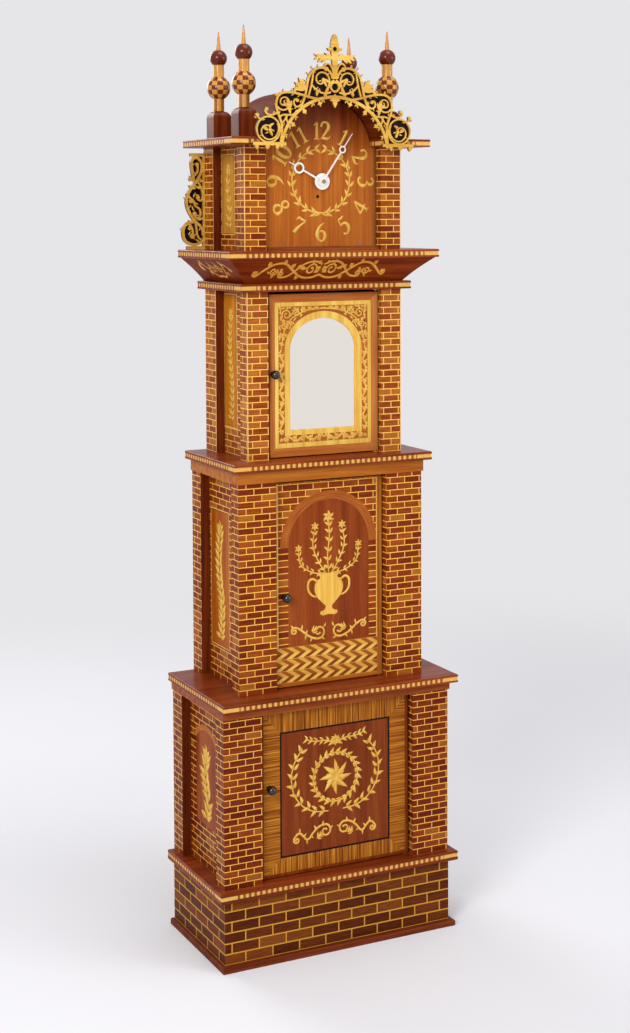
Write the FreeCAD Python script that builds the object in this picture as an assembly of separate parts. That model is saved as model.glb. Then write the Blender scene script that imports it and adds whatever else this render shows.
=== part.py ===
"""Tall case clock of stacked stages: plinth, cupboard, trunk, upper trunk and hood.

Millimetres. X runs to the clock's left-hand door edge negative and hinge edge positive,
the front faces -Y and +Z is up. The origin is the middle of the footprint on the floor.
"""
import FreeCAD
import Part
import math
import os

os.makedirs("parts", exist_ok=True)
V = FreeCAD.Vector

# Heights of the stages and of the boards between them, from the floor up
base_height = 14.5
plinth_height = 158.0
plinth_cap_thickness = 24.0
lower_height = 420.5
lower_frieze_height = 22.5
lower_cap_thickness = 20.5
middle_height = 521.0
middle_frieze_height = 30.0
middle_cap_thickness = 21.0
upper_height = 415.0
cornice_moulding_thickness = 20.5
cove_height = 60.0
cornice_top_thickness = 20.5
hood_height = 257.0
hood_top_thickness = 19.0

# Widths across the clock
base_width = 651.4
base_side_step = 11.0
plinth_cap_width = 664.2
lower_width = 627.2
lower_cap_width = 653.6
middle_width = 510.8
middle_cap_width = 550.2
upper_width = 430.0
cornice_moulding_width = 474.2
cove_foot_width = 437.2
cove_head_width = 566.0
cornice_top_width = 580.2
hood_width = 435.2
hood_top_width = 548.0

# Depths from the flat back, which every stage shares
base_depth = 345.3
base_front_step = 16.8
plinth_cap_depth = 347.8
lower_depth = 326.0
lower_cap_depth = 357.6
middle_depth = 292.7
middle_cap_depth = 313.9
upper_depth = 259.4
cornice_moulding_depth = 273.7
cove_foot_depth = 260.0
cove_head_depth = 318.0
cornice_top_depth = 324.2
hood_depth = 254.1
hood_top_depth = 307.8

# Each stage's door or dial opening, pier sizes and recesses
lower_opening = 423.6
lower_pier_return = 49.9
lower_rear_pier = 59.0
lower_side_recess = 24.3
lower_door_recess = 20.0
middle_opening = 309.4
middle_pier_return = 43.3
middle_rear_pier = 54.4
middle_side_recess = 25.6
middle_door_recess = 20.0
upper_opening = 315.8
upper_pier_return = 43.0
upper_rear_pier = 66.8
upper_side_recess = 23.2
upper_door_recess = 12.0
hood_opening = 320.0
hood_pier_return = 43.0
hood_rear_pier = 62.3
hood_side_recess = 21.8
dial_recess = 17.1

# Edges of the boards between the stages
nosing_height = 5.5
band_height = 10.0
band_inset = 1.2
nosing_radius = 2.4
frieze_overhang = 4.0
frieze_rail_width = 56.0
base_round = 4.0

# Joinery
board_thickness = 12.0
back_board_thickness = 10.0
plinth_board_thickness = 18.0
cove_board_thickness = 14.0
cove_hollow = 3.0

# Openings through the boards that the pendulum, weight and line pass
well_half_width = 112.0
well_back_depth = 62.0
well_front_depth = 222.0

# Doors
door_thickness = 18.0
door_side_gap = 2.5
door_bottom_gap = 3.0
door_top_gap = 6.0
pivot_radius = 2.5
pivot_length = 9.0
pivot_inset = 4.5
pivot_plate_thickness = 2.0
pivot_plate_width = 16.0
pivot_plate_depth = 14.0
running_clearance = 0.05
seat_gap = 0.3

# Knobs and their turning catches
knob_radius = 11.5
knob_ball_share = 0.8
knob_neck_radius = 4.5
knob_neck_length = 5.0
knob_rosette_radius = 8.0
knob_rosette_thickness = 2.0
spindle_radius = 3.5
catch_length = 37.0
catch_width = 10.0
catch_thickness = 3.0

# Lower door: mahogany frame round a panel
lower_panel_half_width = 150.0
lower_panel_bottom = 249.0
lower_panel_top = 557.0
panel_thickness = 10.0
panel_recess = 0.6
panel_lip = 8.0

# Upper door: frame round an arched mirror
mirror_half_width = 93.0
mirror_bottom = 1300.0
mirror_spring = 1500.0
mirror_top = 1577.5
mirror_thickness = 4.0
mirror_lip = 6.0
upper_frame_thickness = 18.0
mirror_setback = 7.0

# Middle door: arched niche let into the face
niche_half_width = 113.0
niche_bottom = 763.0
niche_spring = 1012.0
niche_recess = 1.0

# Knob places, from the door's free edge and from the floor
lower_knob_inset = 26.0
lower_knob_height = 425.0
middle_knob_inset = 28.0
middle_knob_height = 889.0
upper_knob_inset = 15.5
upper_knob_height = 1442.0

# Hood: dial, sill and vaulted roof
arch_centre_height = 1986.0
roof_outer_radius = 164.0
roof_wall = 18.0
dial_half_width = 151.5
dial_arch_radius = 142.0
dial_thickness = 8.0
dial_sill_height = 9.0
dial_sill_depth = 14.0
dial_batten_width = 21.0
dial_batten_thickness = 14.0
hand_centre_height = 1918.0
hand_hole_radius = 5.5
key_hole_radius = 4.5

# Crest of pierced scrollwork
crest_half_width = 221.0
crest_base = 2003.0
crest_height = 273.0
crest_thickness = 6.0
crest_arch_half_width = 146.0
crest_arch_rise = 134.0
crest_arch_centre = 1989.0
crest_band = 7.6
crest_foot_inner = 133.0
crest_foot_height = 8.0
rib_width = 5.6
vine_width = 4.4
tendril_width = 3.2
leaf_swell_share = 0.45

# Side frets
fret_width = 68.0
fret_height = 245.0
fret_thickness = 6.0
fret_backing_thickness = 2.0

# Finials
front_finial_spread = 200.0
front_finial_depth = 216.0
rear_finial_spread = 187.0
rear_finial_depth = 31.0
pedestal_width = 49.0
pedestal_depth = 45.0
pedestal_height = 75.0
pedestal_round = 17.0
post_radius = 14.0
lower_post_height = 31.0
checker_ball_radius = 30.0
checker_ball_height = 56.0
upper_post_height = 30.0
top_ball_radius = 22.0
top_ball_height = 38.0
spike_foot_radius = 6.5
spike_tip_radius = 1.6
spike_height = 46.0

# Movement: plates, train and hands
plate_half_width = 63.0
plate_bottom = 1840.0
plate_height = 158.0
plate_thickness = 3.0
front_plate_depth = 205.0
back_plate_depth = 157.0
pillar_radius = 4.0
pillar_side_inset = 17.0
pillar_end_inset = 7.0
seatboard_half_width = 120.0
seatboard_thickness = 15.0
seatboard_front_depth = 215.0
seatboard_back_depth = 140.0
arbor_radius = 1.5
centre_arbor_radius = 2.2
great_teeth = 96
pinion_leaves = 8
centre_teeth = 64
third_teeth = 60
escape_teeth = 30
cannon_teeth = 12
motion_teeth = 36
hour_teeth = 48
train_module = 0.7
upper_train_module = 0.6
motion_module = 0.7
wheel_thickness = 2.5
pinion_thickness = 6.0
third_arbor_angle = 60.0
pallet_clearance = 1.5
wheel_gap = 2.5
escape_thickness = 2.0
hour_wheel_gap = 1.5
escape_radius = 16.0
great_hub_radius = 14.0
tooth_tip_share = 0.8
tooth_root_share = 1.15
tooth_half_shares = (0.22, 0.165, 0.06)
spoke_share = 2.6
rim_share = 4.0
drum_offset = -9.0
drum_drop = 37.5
drum_radius = 16.0
drum_length = 24.0
drum_flange_radius = 21.0
drum_flange_thickness = 2.0
drum_back_depth = 169.0
winding_arbor_radius = 3.5
winding_square_share = 0.7
hour_pipe_radius = 4.2

# Hands
hand_thickness = 1.5
hour_hand_length = 104.0
hour_hand_ring_place = 72.0
hour_hand_ring_radius = 14.0
hour_hand_ring_width = 4.6
hour_hand_width = 5.4
hour_hub_radius = 20.5
hour_hand_angle = -62.4
minute_hand_length = 146.0
minute_hand_ring_place = 97.0
minute_hand_ring_radius = 9.4
minute_hand_ring_width = 3.4
minute_hand_width = 4.6
minute_hub_radius = 11.5
minute_hand_angle = 34.7
hand_tip_width = 1.6
hour_hand_depth = 243.0
minute_hand_depth = 247.0
minute_collar_radius = 5.0
minute_collar_length = 5.0

# Pendulum
pendulum_depth = 124.0
pendulum_length = 994.0
rod_radius = 3.0
bob_radius = 55.0
bob_thickness = 32.0
bob_rim = 4.0
bob_bulge_share = 0.76
suspension_pin_radius = 2.0
suspension_eye = 10.0
cheek_thickness = 4.0
cock_half_width = 12.0
cock_top_thickness = 8.0
cock_rear_depth = 112.0
crutch_depth = 137.0
crutch_length = 70.0
crutch_thickness = 3.0
crutch_width = 5.0
crutch_prong = 3.0
crutch_play = 0.5
nut_radius = 8.0
nut_height = 7.0

# Weight, pulley and line
line_radius = 1.0
line_post_radius = 3.0
pulley_groove_radius = 14.0
pulley_rim_radius = 17.0
pulley_thickness = 8.0
pulley_height = 905.0
weight_radius = 27.0
weight_height = 185.0
weight_drop = 45.0
yoke_cheek = 3.0
yoke_width = 12.0
yoke_side_play = 0.5

overrun = 5.0
equal_share = 1e-6

# Levels worked out from the stack of heights
plinth_bottom = base_height
plinth_top = plinth_bottom + plinth_height
lower_bottom = plinth_top + plinth_cap_thickness
lower_top = lower_bottom + lower_height
lower_frieze_top = lower_top + lower_frieze_height
middle_bottom = lower_frieze_top + lower_cap_thickness
middle_top = middle_bottom + middle_height
middle_frieze_top = middle_top + middle_frieze_height
upper_bottom = middle_frieze_top + middle_cap_thickness
upper_top = upper_bottom + upper_height
cove_bottom = upper_top + cornice_moulding_thickness
cove_top = cove_bottom + cove_height
hood_bottom = cove_top + cornice_top_thickness
hood_top_bottom = hood_bottom + hood_height
hood_top_level = hood_top_bottom + hood_top_thickness
back_y = lower_cap_depth / 2
plinth_width = base_width - 2 * base_side_step
plinth_depth = base_depth - base_front_step


def front(depth):
    """The Y of a plane that lies depth in front of the flat back."""
    return back_y - depth


def save(name, *solids):
    """Writes one node, of one solid or of a group of them."""
    shape = solids[0] if len(solids) == 1 else Part.makeCompound(list(solids))
    shape.exportStep("parts/" + name + ".step")


def block(x0, x1, depth0, depth1, z0, z1):
    """A box between two X, two depths from the back and two heights."""
    return Part.makeBox(x1 - x0, depth1 - depth0, z1 - z0, V(x0, front(depth1), z0))


def mirrored(shape):
    """The same shape on the other side of the clock."""
    return shape.mirror(V(0, 0, 0), V(1, 0, 0))


def pair(shape):
    """A shape and its mirror image."""
    return [shape, mirrored(shape)]


def pin_y(x, z, radius, depth0, depth1):
    """A round bar along Y between two depths."""
    return Part.makeCylinder(radius, depth1 - depth0, V(x, front(depth1), z), V(0, 1, 0))


def pin_z(x, y, radius, z0, z1):
    """An upright round bar."""
    return Part.makeCylinder(radius, z1 - z0, V(x, y, z0), V(0, 0, 1))


# Boards between the stages

def rounded_perimeter(shape, level, radius, depth):
    """Rounds the front and side edges that lie at one level, not the back one."""
    edges = []
    for edge in shape.Edges:
        box = edge.BoundBox
        at_level = abs(box.ZMin - level) < radius and abs(box.ZMax - level) < radius
        at_back = abs(box.YMin - back_y) < radius and abs(box.YMax - back_y) < radius
        if at_level and not at_back:
            edges.append(edge)
    return shape.makeFillet(radius, edges)


def edged_board(width, depth, bottom, thickness):
    """A board whose edge has a nosing, an inset band and a nosing under it."""
    half = width / 2
    band_top = bottom + thickness - nosing_height
    band_bottom = band_top - band_height
    upper = block(-half, half, 0, depth, band_top, bottom + thickness)
    upper = rounded_perimeter(upper, bottom + thickness, nosing_radius, depth)
    band = block(-half + band_inset, half - band_inset, 0, depth - band_inset, band_bottom, band_top)
    lower = block(-half, half, 0, depth, bottom, band_bottom)
    lower = rounded_perimeter(lower, bottom, nosing_radius, depth)
    return upper.fuse(band).fuse(lower).removeSplitter()


def in_four(shape, half_opening, back_depth, front_depth):
    """Cuts a ring-shaped board into front, back, left and right rails round its opening."""
    box = shape.BoundBox
    low = box.ZMin - overrun
    high = box.ZMax + overrun
    side = box.XMax + overrun
    deep = back_y - box.YMin + overrun
    regions = [
        block(-side, side, front_depth, deep, low, high),
        block(-side, side, -overrun, back_depth, low, high),
        block(-side, -half_opening, back_depth, front_depth, low, high),
        block(half_opening, side, back_depth, front_depth, low, high),
    ]
    return [piece for region in regions for piece in shape.common(region).Solids]


def welled_board(width, depth, bottom, thickness):
    """An edged board made as four rails round the well of the pendulum and weight."""
    board = edged_board(width, depth, bottom, thickness)
    return in_four(board, well_half_width, well_back_depth, well_front_depth)


def base_moulding():
    """The stepped and rounded moulding round the foot, as four rails."""
    half = base_width / 2
    foot = block(-half, half, 0, base_depth, 0, base_height)
    foot = rounded_perimeter(foot, base_height, base_round, base_depth)
    inner = plinth_width / 2 - plinth_board_thickness
    return in_four(foot, inner, back_board_thickness, plinth_depth - plinth_board_thickness)


def plinth_boards():
    """Front and side boards of the plinth, with the back board between the sides."""
    half = plinth_width / 2
    inner = half - plinth_board_thickness
    front_back_face = plinth_depth - plinth_board_thickness
    return [
        block(-half, half, front_back_face, plinth_depth, plinth_bottom, plinth_top),
        *pair(block(inner, half, 0, front_back_face, plinth_bottom, plinth_top)),
    ]


# Stages

class Stage:
    """One storey of the case: four corner piers, two recessed side panels and a back."""

    def __init__(self, name, footprint, levels, opening, piers, recesses, face):
        self.name = name
        self.half = footprint[0] / 2
        self.depth = footprint[1]
        self.bottom, self.top = levels
        self.opening = opening / 2
        self.side_return, self.rear_pier = piers
        self.recess, face_recess = recesses
        self.face = face
        self.face_depth = self.depth - face_recess
        self.wall = self.recess + board_thickness

    def front_piers(self):
        """Corner piers: a front board as thick as the door needs and a strip behind its outer edge."""
        rear = self.face_depth - self.face
        strip_rear = self.depth - self.side_return
        board = block(self.opening, self.half, rear, self.depth, self.bottom, self.top)
        strip = block(self.half - self.wall, self.half, strip_rear, rear, self.bottom, self.top)
        return pair(board) + pair(strip)

    def rear_piers(self):
        return pair(block(self.half - self.wall, self.half, 0, self.rear_pier, self.bottom, self.top))

    def side_panels(self):
        outer = self.half - self.recess
        front_edge = self.depth - self.side_return
        return pair(block(outer - board_thickness, outer, self.rear_pier, front_edge, self.bottom, self.top))

    def back(self):
        inner = self.half - self.wall
        return block(-inner, inner, 0, back_board_thickness, self.bottom, self.top)

    def save(self):
        save(self.name + "_front_piers", *self.front_piers())
        save(self.name + "_rear_piers", *self.rear_piers())
        save(self.name + "_side_panels", *self.side_panels())


lower = Stage("lower", (lower_width, lower_depth), (lower_bottom, lower_top), lower_opening,
              (lower_pier_return, lower_rear_pier), (lower_side_recess, lower_door_recess), door_thickness)
middle = Stage("middle", (middle_width, middle_depth), (middle_bottom, middle_top), middle_opening,
               (middle_pier_return, middle_rear_pier), (middle_side_recess, middle_door_recess),
               door_thickness)
upper = Stage("upper", (upper_width, upper_depth), (upper_bottom, upper_top), upper_opening,
              (upper_pier_return, upper_rear_pier), (upper_side_recess, upper_door_recess),
              upper_frame_thickness)
hood = Stage("hood", (hood_width, hood_depth), (hood_bottom, hood_top_bottom), hood_opening,
             (hood_pier_return, hood_rear_pier), (hood_side_recess, dial_recess), dial_thickness)
stages = [lower, middle, upper, hood]


def frieze(stage, bottom, top):
    """A plain rail over a stage, standing a little proud at the front and sides."""
    half = stage.half + frieze_overhang
    depth = stage.depth + frieze_overhang
    inner = stage.half - stage.wall
    rail_back = depth - frieze_rail_width
    return [
        block(-half, half, rail_back, depth, bottom, top),
        *pair(block(inner, half, 0, rail_back, bottom, top)),
        block(-inner, inner, 0, back_board_thickness, bottom, top),
    ]


# Cornice

def rectangle_wire(half, back_depth, front_depth, level):
    points = [
        V(-half, front(front_depth), level),
        V(half, front(front_depth), level),
        V(half, front(back_depth), level),
        V(-half, front(back_depth), level),
    ]
    return Part.makePolygon(points + [points[0]])


def cove_section(level_share, bow):
    """Half width and depth of the cove at a share of its height, drawn in by the bow."""
    half = (cove_foot_width + (cove_head_width - cove_foot_width) * level_share) / 2 - bow
    depth = cove_foot_depth + (cove_head_depth - cove_foot_depth) * level_share - bow
    return half, depth


def cove_boards():
    """Flaring boards between the two cornice mouldings, hollow to the front and sides."""
    steps = 6
    outer_wires = []
    inner_wires = []
    for step in range(steps + 1):
        share = step / steps
        bow = cove_hollow * math.sin(math.pi * share)
        half, depth = cove_section(share, bow)
        level = cove_bottom + cove_height * share
        outer_wires.append(rectangle_wire(half, 0, depth, level))
        inner_half = half - cove_board_thickness
        inner_depth = depth - cove_board_thickness
        inner_wires.append(rectangle_wire(inner_half, back_board_thickness, inner_depth, level))
    outer = Part.makeLoft(outer_wires, True, True)
    inner = Part.makeLoft(inner_wires, True, True)
    shell = outer.cut(inner)
    half_inner = cove_foot_width / 2 - cove_board_thickness
    front_inner = cove_foot_depth - cove_board_thickness
    return in_four(shell, half_inner, back_board_thickness, front_inner)


# Hood

def hood_top_boards():
    """Two edged boards, one each side of the vaulted roof."""
    board = edged_board(hood_top_width, hood_top_depth, hood_top_bottom, hood_top_thickness)
    rise = hood_top_level - arch_centre_height
    inner_edge = math.sqrt((roof_outer_radius - roof_wall) ** 2 - rise ** 2)
    high = hood_top_level + overrun
    low = hood_top_bottom - overrun
    region = block(inner_edge, hood_top_width, -overrun, hood_top_depth + overrun, low, high)
    right = board.common(region).Solids[0]
    return pair(right)


def barrel_roof():
    """Half-round vault that stands on the two hood boards, open at the front, closed at the back."""
    length = hood_top_depth
    centre = V(0, front(length), arch_centre_height)
    shell = Part.makeCylinder(roof_outer_radius, length, centre, V(0, 1, 0))
    open_length = length - back_board_thickness
    inner = Part.makeCylinder(roof_outer_radius - roof_wall, open_length, centre, V(0, 1, 0))
    width = roof_outer_radius + overrun
    below = block(-width, width, -overrun, length + overrun, arch_centre_height - width, hood_top_level)
    return shell.cut(inner).cut(below)


def vault_filler():
    """Back board of the hood between the two hood boards, under the vault's closed end."""
    rise = hood_top_level - arch_centre_height
    inner_edge = math.sqrt((roof_outer_radius - roof_wall) ** 2 - rise ** 2)
    return block(-inner_edge, inner_edge, 0, back_board_thickness, hood_top_bottom, hood_top_level)


dial_front = hood.face_depth
dial_back = dial_front - dial_thickness
dial_bottom = hood_bottom + dial_sill_height
drum_x = drum_offset
drum_z = hand_centre_height - drum_drop


def dial_board():
    """Break-arch board with the holes of the hands' arbor and of the winding square."""
    body = block(-dial_half_width, dial_half_width, dial_back, dial_front, dial_bottom, hood_top_bottom)
    arch = pin_y(0, arch_centre_height, dial_arch_radius, dial_back, dial_front)
    under = dial_arch_radius * 2
    arch = arch.common(block(-under, under, dial_back, dial_front, hood_top_bottom, hood_top_bottom + under))
    board = body.fuse(arch).removeSplitter()
    hand_hole = pin_y(0, hand_centre_height, hand_hole_radius, dial_back - overrun, dial_front + overrun)
    key_hole = pin_y(drum_x, drum_z, key_hole_radius, dial_back - overrun, dial_front + overrun)
    return board.cut(hand_hole).cut(key_hole)


def dial_battens():
    """Upright battens on the piers and a cross batten that the dial is screwed to."""
    outer = hood.opening
    inner = outer - dial_batten_width
    rear = dial_back - dial_batten_thickness
    cross_top = hood_bottom + dial_batten_width + dial_sill_height
    return [
        *pair(block(inner, outer, rear, dial_back, hood_bottom, hood_top_bottom)),
        block(-inner, inner, rear, dial_back, hood_bottom, cross_top),
    ]


def dial_sill():
    sill_front = dial_back + dial_sill_depth
    return block(-hood.opening, hood.opening, dial_back, sill_front, hood_bottom, dial_bottom)


# Pierced scrollwork, drawn in the upright plane from shares of its width and height

def ribbon(points, start_width, end_width):
    """A flat band along a smooth line through points, from one width to another, with round ends."""
    line = Part.BSplineCurve()
    line.interpolate(points)
    steps = 4 * (len(points) - 1)
    left = []
    right = []
    for step in range(steps + 1):
        share = step / steps
        place = line.FirstParameter + (line.LastParameter - line.FirstParameter) * share
        here = line.value(place)
        along = line.tangent(place)[0]
        across = V(-along.z, 0, along.x).multiply((start_width + (end_width - start_width) * share) / 2)
        left.append(here + across)
        right.append(here - across)
    left_edge = Part.BSplineCurve()
    left_edge.interpolate(left)
    right_edge = Part.BSplineCurve()
    right_edge.interpolate(right[::-1])
    outline = Part.Wire([
        left_edge.toShape(),
        Part.makeLine(left[-1], right[-1]),
        right_edge.toShape(),
        Part.makeLine(right[0], left[0]),
    ])
    return [Part.Face(outline), disc(points[0], start_width / 2), disc(points[-1], end_width / 2)]


def disc(centre, radius):
    return Part.Face(Part.Wire(Part.makeCircle(radius, centre, V(0, 1, 0))))


def leaf(base, tip, width):
    """A pointed leaf between two points, of two arcs."""
    along = tip - base
    across = V(-along.z, 0, along.x).normalize().multiply(width / 2)
    middle = base + along * leaf_swell_share
    one = Part.Arc(base, middle + across, tip).toShape()
    two = Part.Arc(tip, middle - across, base).toShape()
    return Part.Face(Part.Wire([one, two]))


def spiral(centre, start_radius, end_radius, start_angle, sweep):
    """Points of a spiral in the upright plane, every 40 degrees or finer."""
    steps = max(3, math.ceil(abs(sweep) / 40))
    points = []
    for step in range(steps + 1):
        share = step / steps
        angle = math.radians(start_angle + sweep * share)
        radius = start_radius + (end_radius - start_radius) * share
        points.append(centre + V(radius * math.cos(angle), 0, radius * math.sin(angle)))
    return points


def flat_union(faces):
    """Joins flat faces that overlap, from the edges that only one of their pieces has."""
    uses = {}
    for piece in faces[0].multiFuse(faces[1:]).Faces:
        for edge in piece.Edges:
            uses.setdefault(edge.hashCode(), []).append(edge)
    rim = [edges[0] for edges in uses.values() if len(edges) == 1]
    wires = [Part.Wire(group) for group in Part.sortEdges(rim)]
    return Part.makeFace(wires, "Part::FaceMakerBullseye").Faces


def pierced_board(faces, thickness, back_depth):
    """A board of one thickness from flat faces, its back at a depth from the flat back."""
    solids = [face.extrude(V(0, -thickness, 0)) for face in flat_union(faces)]
    for solid in solids:
        solid.translate(V(0, front(back_depth), 0))
    return solids


def backing(board):
    """A thin board behind a pierced board, of the same outline without its holes."""
    rear = max(board.Faces, key=lambda face: face.CenterOfMass.y)
    return Part.Face(rear.OuterWire).extrude(V(0, fret_backing_thickness, 0))


def crest_point(x_share, z_share):
    return V(crest_half_width * x_share, 0, crest_base + crest_height * z_share)


# Right half of the crest: lines through shares of its half width and height, with two widths
crest_ribs_shares = [
    [(0.20, 0.418), (0.33, 0.436), (0.45, 0.460), (0.587, 0.472), (0.678, 0.450), (0.714, 0.400),
     (0.720, 0.350), (0.706, 0.300), (0.676, 0.240), (0.655, 0.180), (0.655, 0.105), (0.668, 0.025)],
    [(0.035, 0.615), (0.080, 0.676), (0.152, 0.698), (0.240, 0.682), (0.305, 0.635), (0.334, 0.576),
     (0.350, 0.515), (0.366, 0.455), (0.392, 0.395), (0.425, 0.330)],
    [(0.02, 0.585), (0.075, 0.535), (0.10, 0.500), (0.125, 0.455)],
]
crest_vines_shares = [
    [(0.475, 0.310), (0.54, 0.270), (0.615, 0.272), (0.675, 0.255)],
    [(0.266, 0.668), (0.282, 0.580), (0.304, 0.505), (0.332, 0.430)],
    [(0.390, 0.400), (0.425, 0.360), (0.472, 0.345), (0.506, 0.372), (0.492, 0.408), (0.458, 0.406)],
    [(0.06, 0.480), (0.13, 0.470), (0.21, 0.490), (0.292, 0.548)],
    [(0.026, 0.672), (0.048, 0.715), (0.090, 0.738), (0.125, 0.715), (0.11, 0.675)],
    [(0.708, 0.290), (0.760, 0.270), (0.815, 0.270), (0.850, 0.292), (0.842, 0.320)],
]
crest_tendrils_shares = [
    [(0.68, 0.440), (0.712, 0.450), (0.738, 0.448)],
    [(0.905, 0.225), (0.932, 0.240), (0.946, 0.262)],
    [(0.56, 0.272), (0.595, 0.225), (0.565, 0.195), (0.540, 0.215)],
    [(0.60, 0.265), (0.625, 0.220), (0.655, 0.205)],
]
# Spirals: centre, first and last radius as shares of the half width, first angle and turn
crest_spirals_shares = [
    ((0.168, 0.590), 0.106, 0.026, 215, -400),
    ((0.628, 0.380), 0.090, 0.024, 325, -450),
    ((0.822, 0.135), 0.138, 0.026, 150, 380),
]
# Leaves: base and tip as shares, and width as a share of the half width
crest_leaves_shares = [
    ((0.01, 0.775), (0.250, 0.812), 0.046),
    ((0.17, 0.805), (0.250, 0.768), 0.034),
    ((0.13, 0.800), (0.208, 0.742), 0.036),
    ((0.09, 0.795), (0.160, 0.742), 0.032),
    ((0.03, 0.790), (0.125, 0.832), 0.030),
    ((0.038, 0.856), (0.092, 0.872), 0.034),
    ((0.13, 0.600), (0.055, 0.560), 0.028),
    ((0.142, 0.594), (0.100, 0.525), 0.028),
    ((0.225, 0.496), (0.225, 0.440), 0.024),
    ((0.545, 0.268), (0.592, 0.428), 0.040),
    ((0.560, 0.320), (0.530, 0.400), 0.030),
    ((0.350, 0.500), (0.446, 0.602), 0.046),
    ((0.350, 0.500), (0.494, 0.562), 0.052),
    ((0.350, 0.498), (0.510, 0.508), 0.046),
    ((0.470, 0.520), (0.506, 0.462), 0.028),
    ((0.400, 0.520), (0.392, 0.592), 0.028),
    ((0.810, 0.170), (0.748, 0.195), 0.026),
    ((0.800, 0.140), (0.768, 0.082), 0.030),
    ((0.815, 0.130), (0.890, 0.165), 0.030),
]
crest_stem_shares = [
    (0.040, 0.600), (0.030, 0.680), (0.034, 0.760), (0.044, 0.830), (0.052, 0.880),
    (0.046, 0.920), (0.032, 0.968),
]
crest_stem_tip_share = 1.0
crest_eye_share = 0.868
crest_eye_radius = 5.4
crest_ring_share = 0.530
crest_ring_outer_radius = 13.6
crest_ring_inner_radius = 8.8
roundel_x_share = 0.815
roundel_z_share = 0.140
roundel_outer_radius = 33.0
roundel_inner_radius = 28.8
pendant_angles = (32.0, 52.0, 72.0)
pendant_length = 19.0
pendant_width = 6.0
pendant_arm = 13.0
pendant_arm_share = 0.6
foot_drop_shares = (0.71, 0.83, 0.955)
foot_drop_length = 14.0
foot_drop_width = 9.0
centre_drop_width = 13.0
centre_drop_length = 34.0
centre_drop_arm = 15.0
curl_radius = 4.4
curl_places_shares = ((0.836, 0.320), (0.948, 0.266), (0.100, 0.690), (0.548, 0.207), (0.464, 0.402))


def arch_point(angle, offset):
    """A point on the crest's arch, the angle measured at its centre from the level."""
    turn = math.radians(angle)
    x = (crest_arch_half_width + offset) * math.cos(turn)
    z = crest_arch_centre + (crest_arch_rise + offset) * math.sin(turn)
    return V(x, 0, z)


def crest_arch_band():
    """Right half of the band along the arch, from the foot to the middle."""
    foot_angle = math.degrees(math.asin((crest_base - crest_arch_centre) / crest_arch_rise))
    steps = 9
    turns = [foot_angle + (90 - foot_angle) * step / steps for step in range(steps + 1)]
    return ribbon([arch_point(turn, 0) for turn in turns], crest_band, crest_band)


def crest_half_faces():
    """Every face of the right half of the crest."""
    faces = crest_arch_band()
    for lines, first, last in (
        (crest_ribs_shares, rib_width, rib_width),
        (crest_vines_shares, vine_width, vine_width),
        (crest_tendrils_shares, vine_width, tendril_width),
    ):
        for shares in lines:
            faces += ribbon([crest_point(*share) for share in shares], first, last)
    for (x_share, z_share), first, last, angle, sweep in crest_spirals_shares:
        centre = crest_point(x_share, z_share)
        points = spiral(centre, crest_half_width * first, crest_half_width * last, angle, sweep)
        faces += ribbon(points, vine_width, tendril_width)
        faces.append(disc(points[-1], vine_width))
    for base, tip, width in crest_leaves_shares:
        faces.append(leaf(crest_point(*base), crest_point(*tip), crest_half_width * width))
    for place in curl_places_shares:
        faces.append(disc(crest_point(*place), curl_radius))
    ring_centre = crest_point(roundel_x_share, roundel_z_share)
    faces.append(disc(ring_centre, roundel_outer_radius).cut(disc(ring_centre, roundel_inner_radius)))
    for angle in pendant_angles:
        root = arch_point(angle, 0)
        tip = arch_point(angle, -pendant_length)
        middle = arch_point(angle, -pendant_length * pendant_arm_share)
        side = (tip - root).cross(V(0, 1, 0)).normalize().multiply(pendant_arm / 2)
        faces.append(leaf(root, tip, pendant_width))
        faces.append(leaf(middle - side, middle + side, pendant_width))
    for share in foot_drop_shares:
        top = V(crest_half_width * share, 0, crest_base + crest_foot_height / 2)
        tip = top - V(0, 0, foot_drop_length)
        faces.append(leaf(top, tip, foot_drop_width))
    foot = Part.makePolygon([
        V(crest_foot_inner, 0, crest_base),
        V(crest_half_width, 0, crest_base),
        V(crest_half_width, 0, crest_base + crest_foot_height),
        V(crest_foot_inner, 0, crest_base + crest_foot_height),
        V(crest_foot_inner, 0, crest_base),
    ])
    faces.append(Part.Face(foot))
    return faces


def crest_middle_faces():
    """Stem, eye, ring and drop on the centre line, whole."""
    tip = crest_point(0, crest_stem_tip_share)
    side = [crest_point(*share) for share in crest_stem_shares]
    other = [V(-point.x, 0, point.z) for point in side]
    outline = Part.BSplineCurve()
    outline.interpolate(side + [tip] + other[::-1])
    foot = Part.makeLine(other[0], side[0])
    stem = Part.Face(Part.Wire([outline.toShape(), foot]))
    eye = disc(crest_point(0, crest_eye_share), crest_eye_radius)
    ring_centre = crest_point(0, crest_ring_share)
    ring = disc(ring_centre, crest_ring_outer_radius).cut(disc(ring_centre, crest_ring_inner_radius))
    drop_top = arch_point(90, crest_band)
    drop_tip = arch_point(90, crest_band - centre_drop_length)
    arm = V(centre_drop_arm, 0, 0)
    middle = arch_point(90, -crest_band)
    return [
        stem.cut(eye),
        ring,
        leaf(drop_top, drop_tip, centre_drop_width),
        leaf(middle - arm, middle + arm, vine_width * 2),
    ]


def crest():
    """The whole crest as one pierced board before the hood boards and the vault."""
    depth = hood_top_depth + fret_backing_thickness
    right = pierced_board(crest_half_faces(), crest_thickness, depth)
    middle = pierced_board(crest_middle_faces(), crest_thickness, depth)
    left = [mirrored(solid) for solid in right]
    return right[0].fuse(right[1:] + left + middle).removeSplitter()


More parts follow.
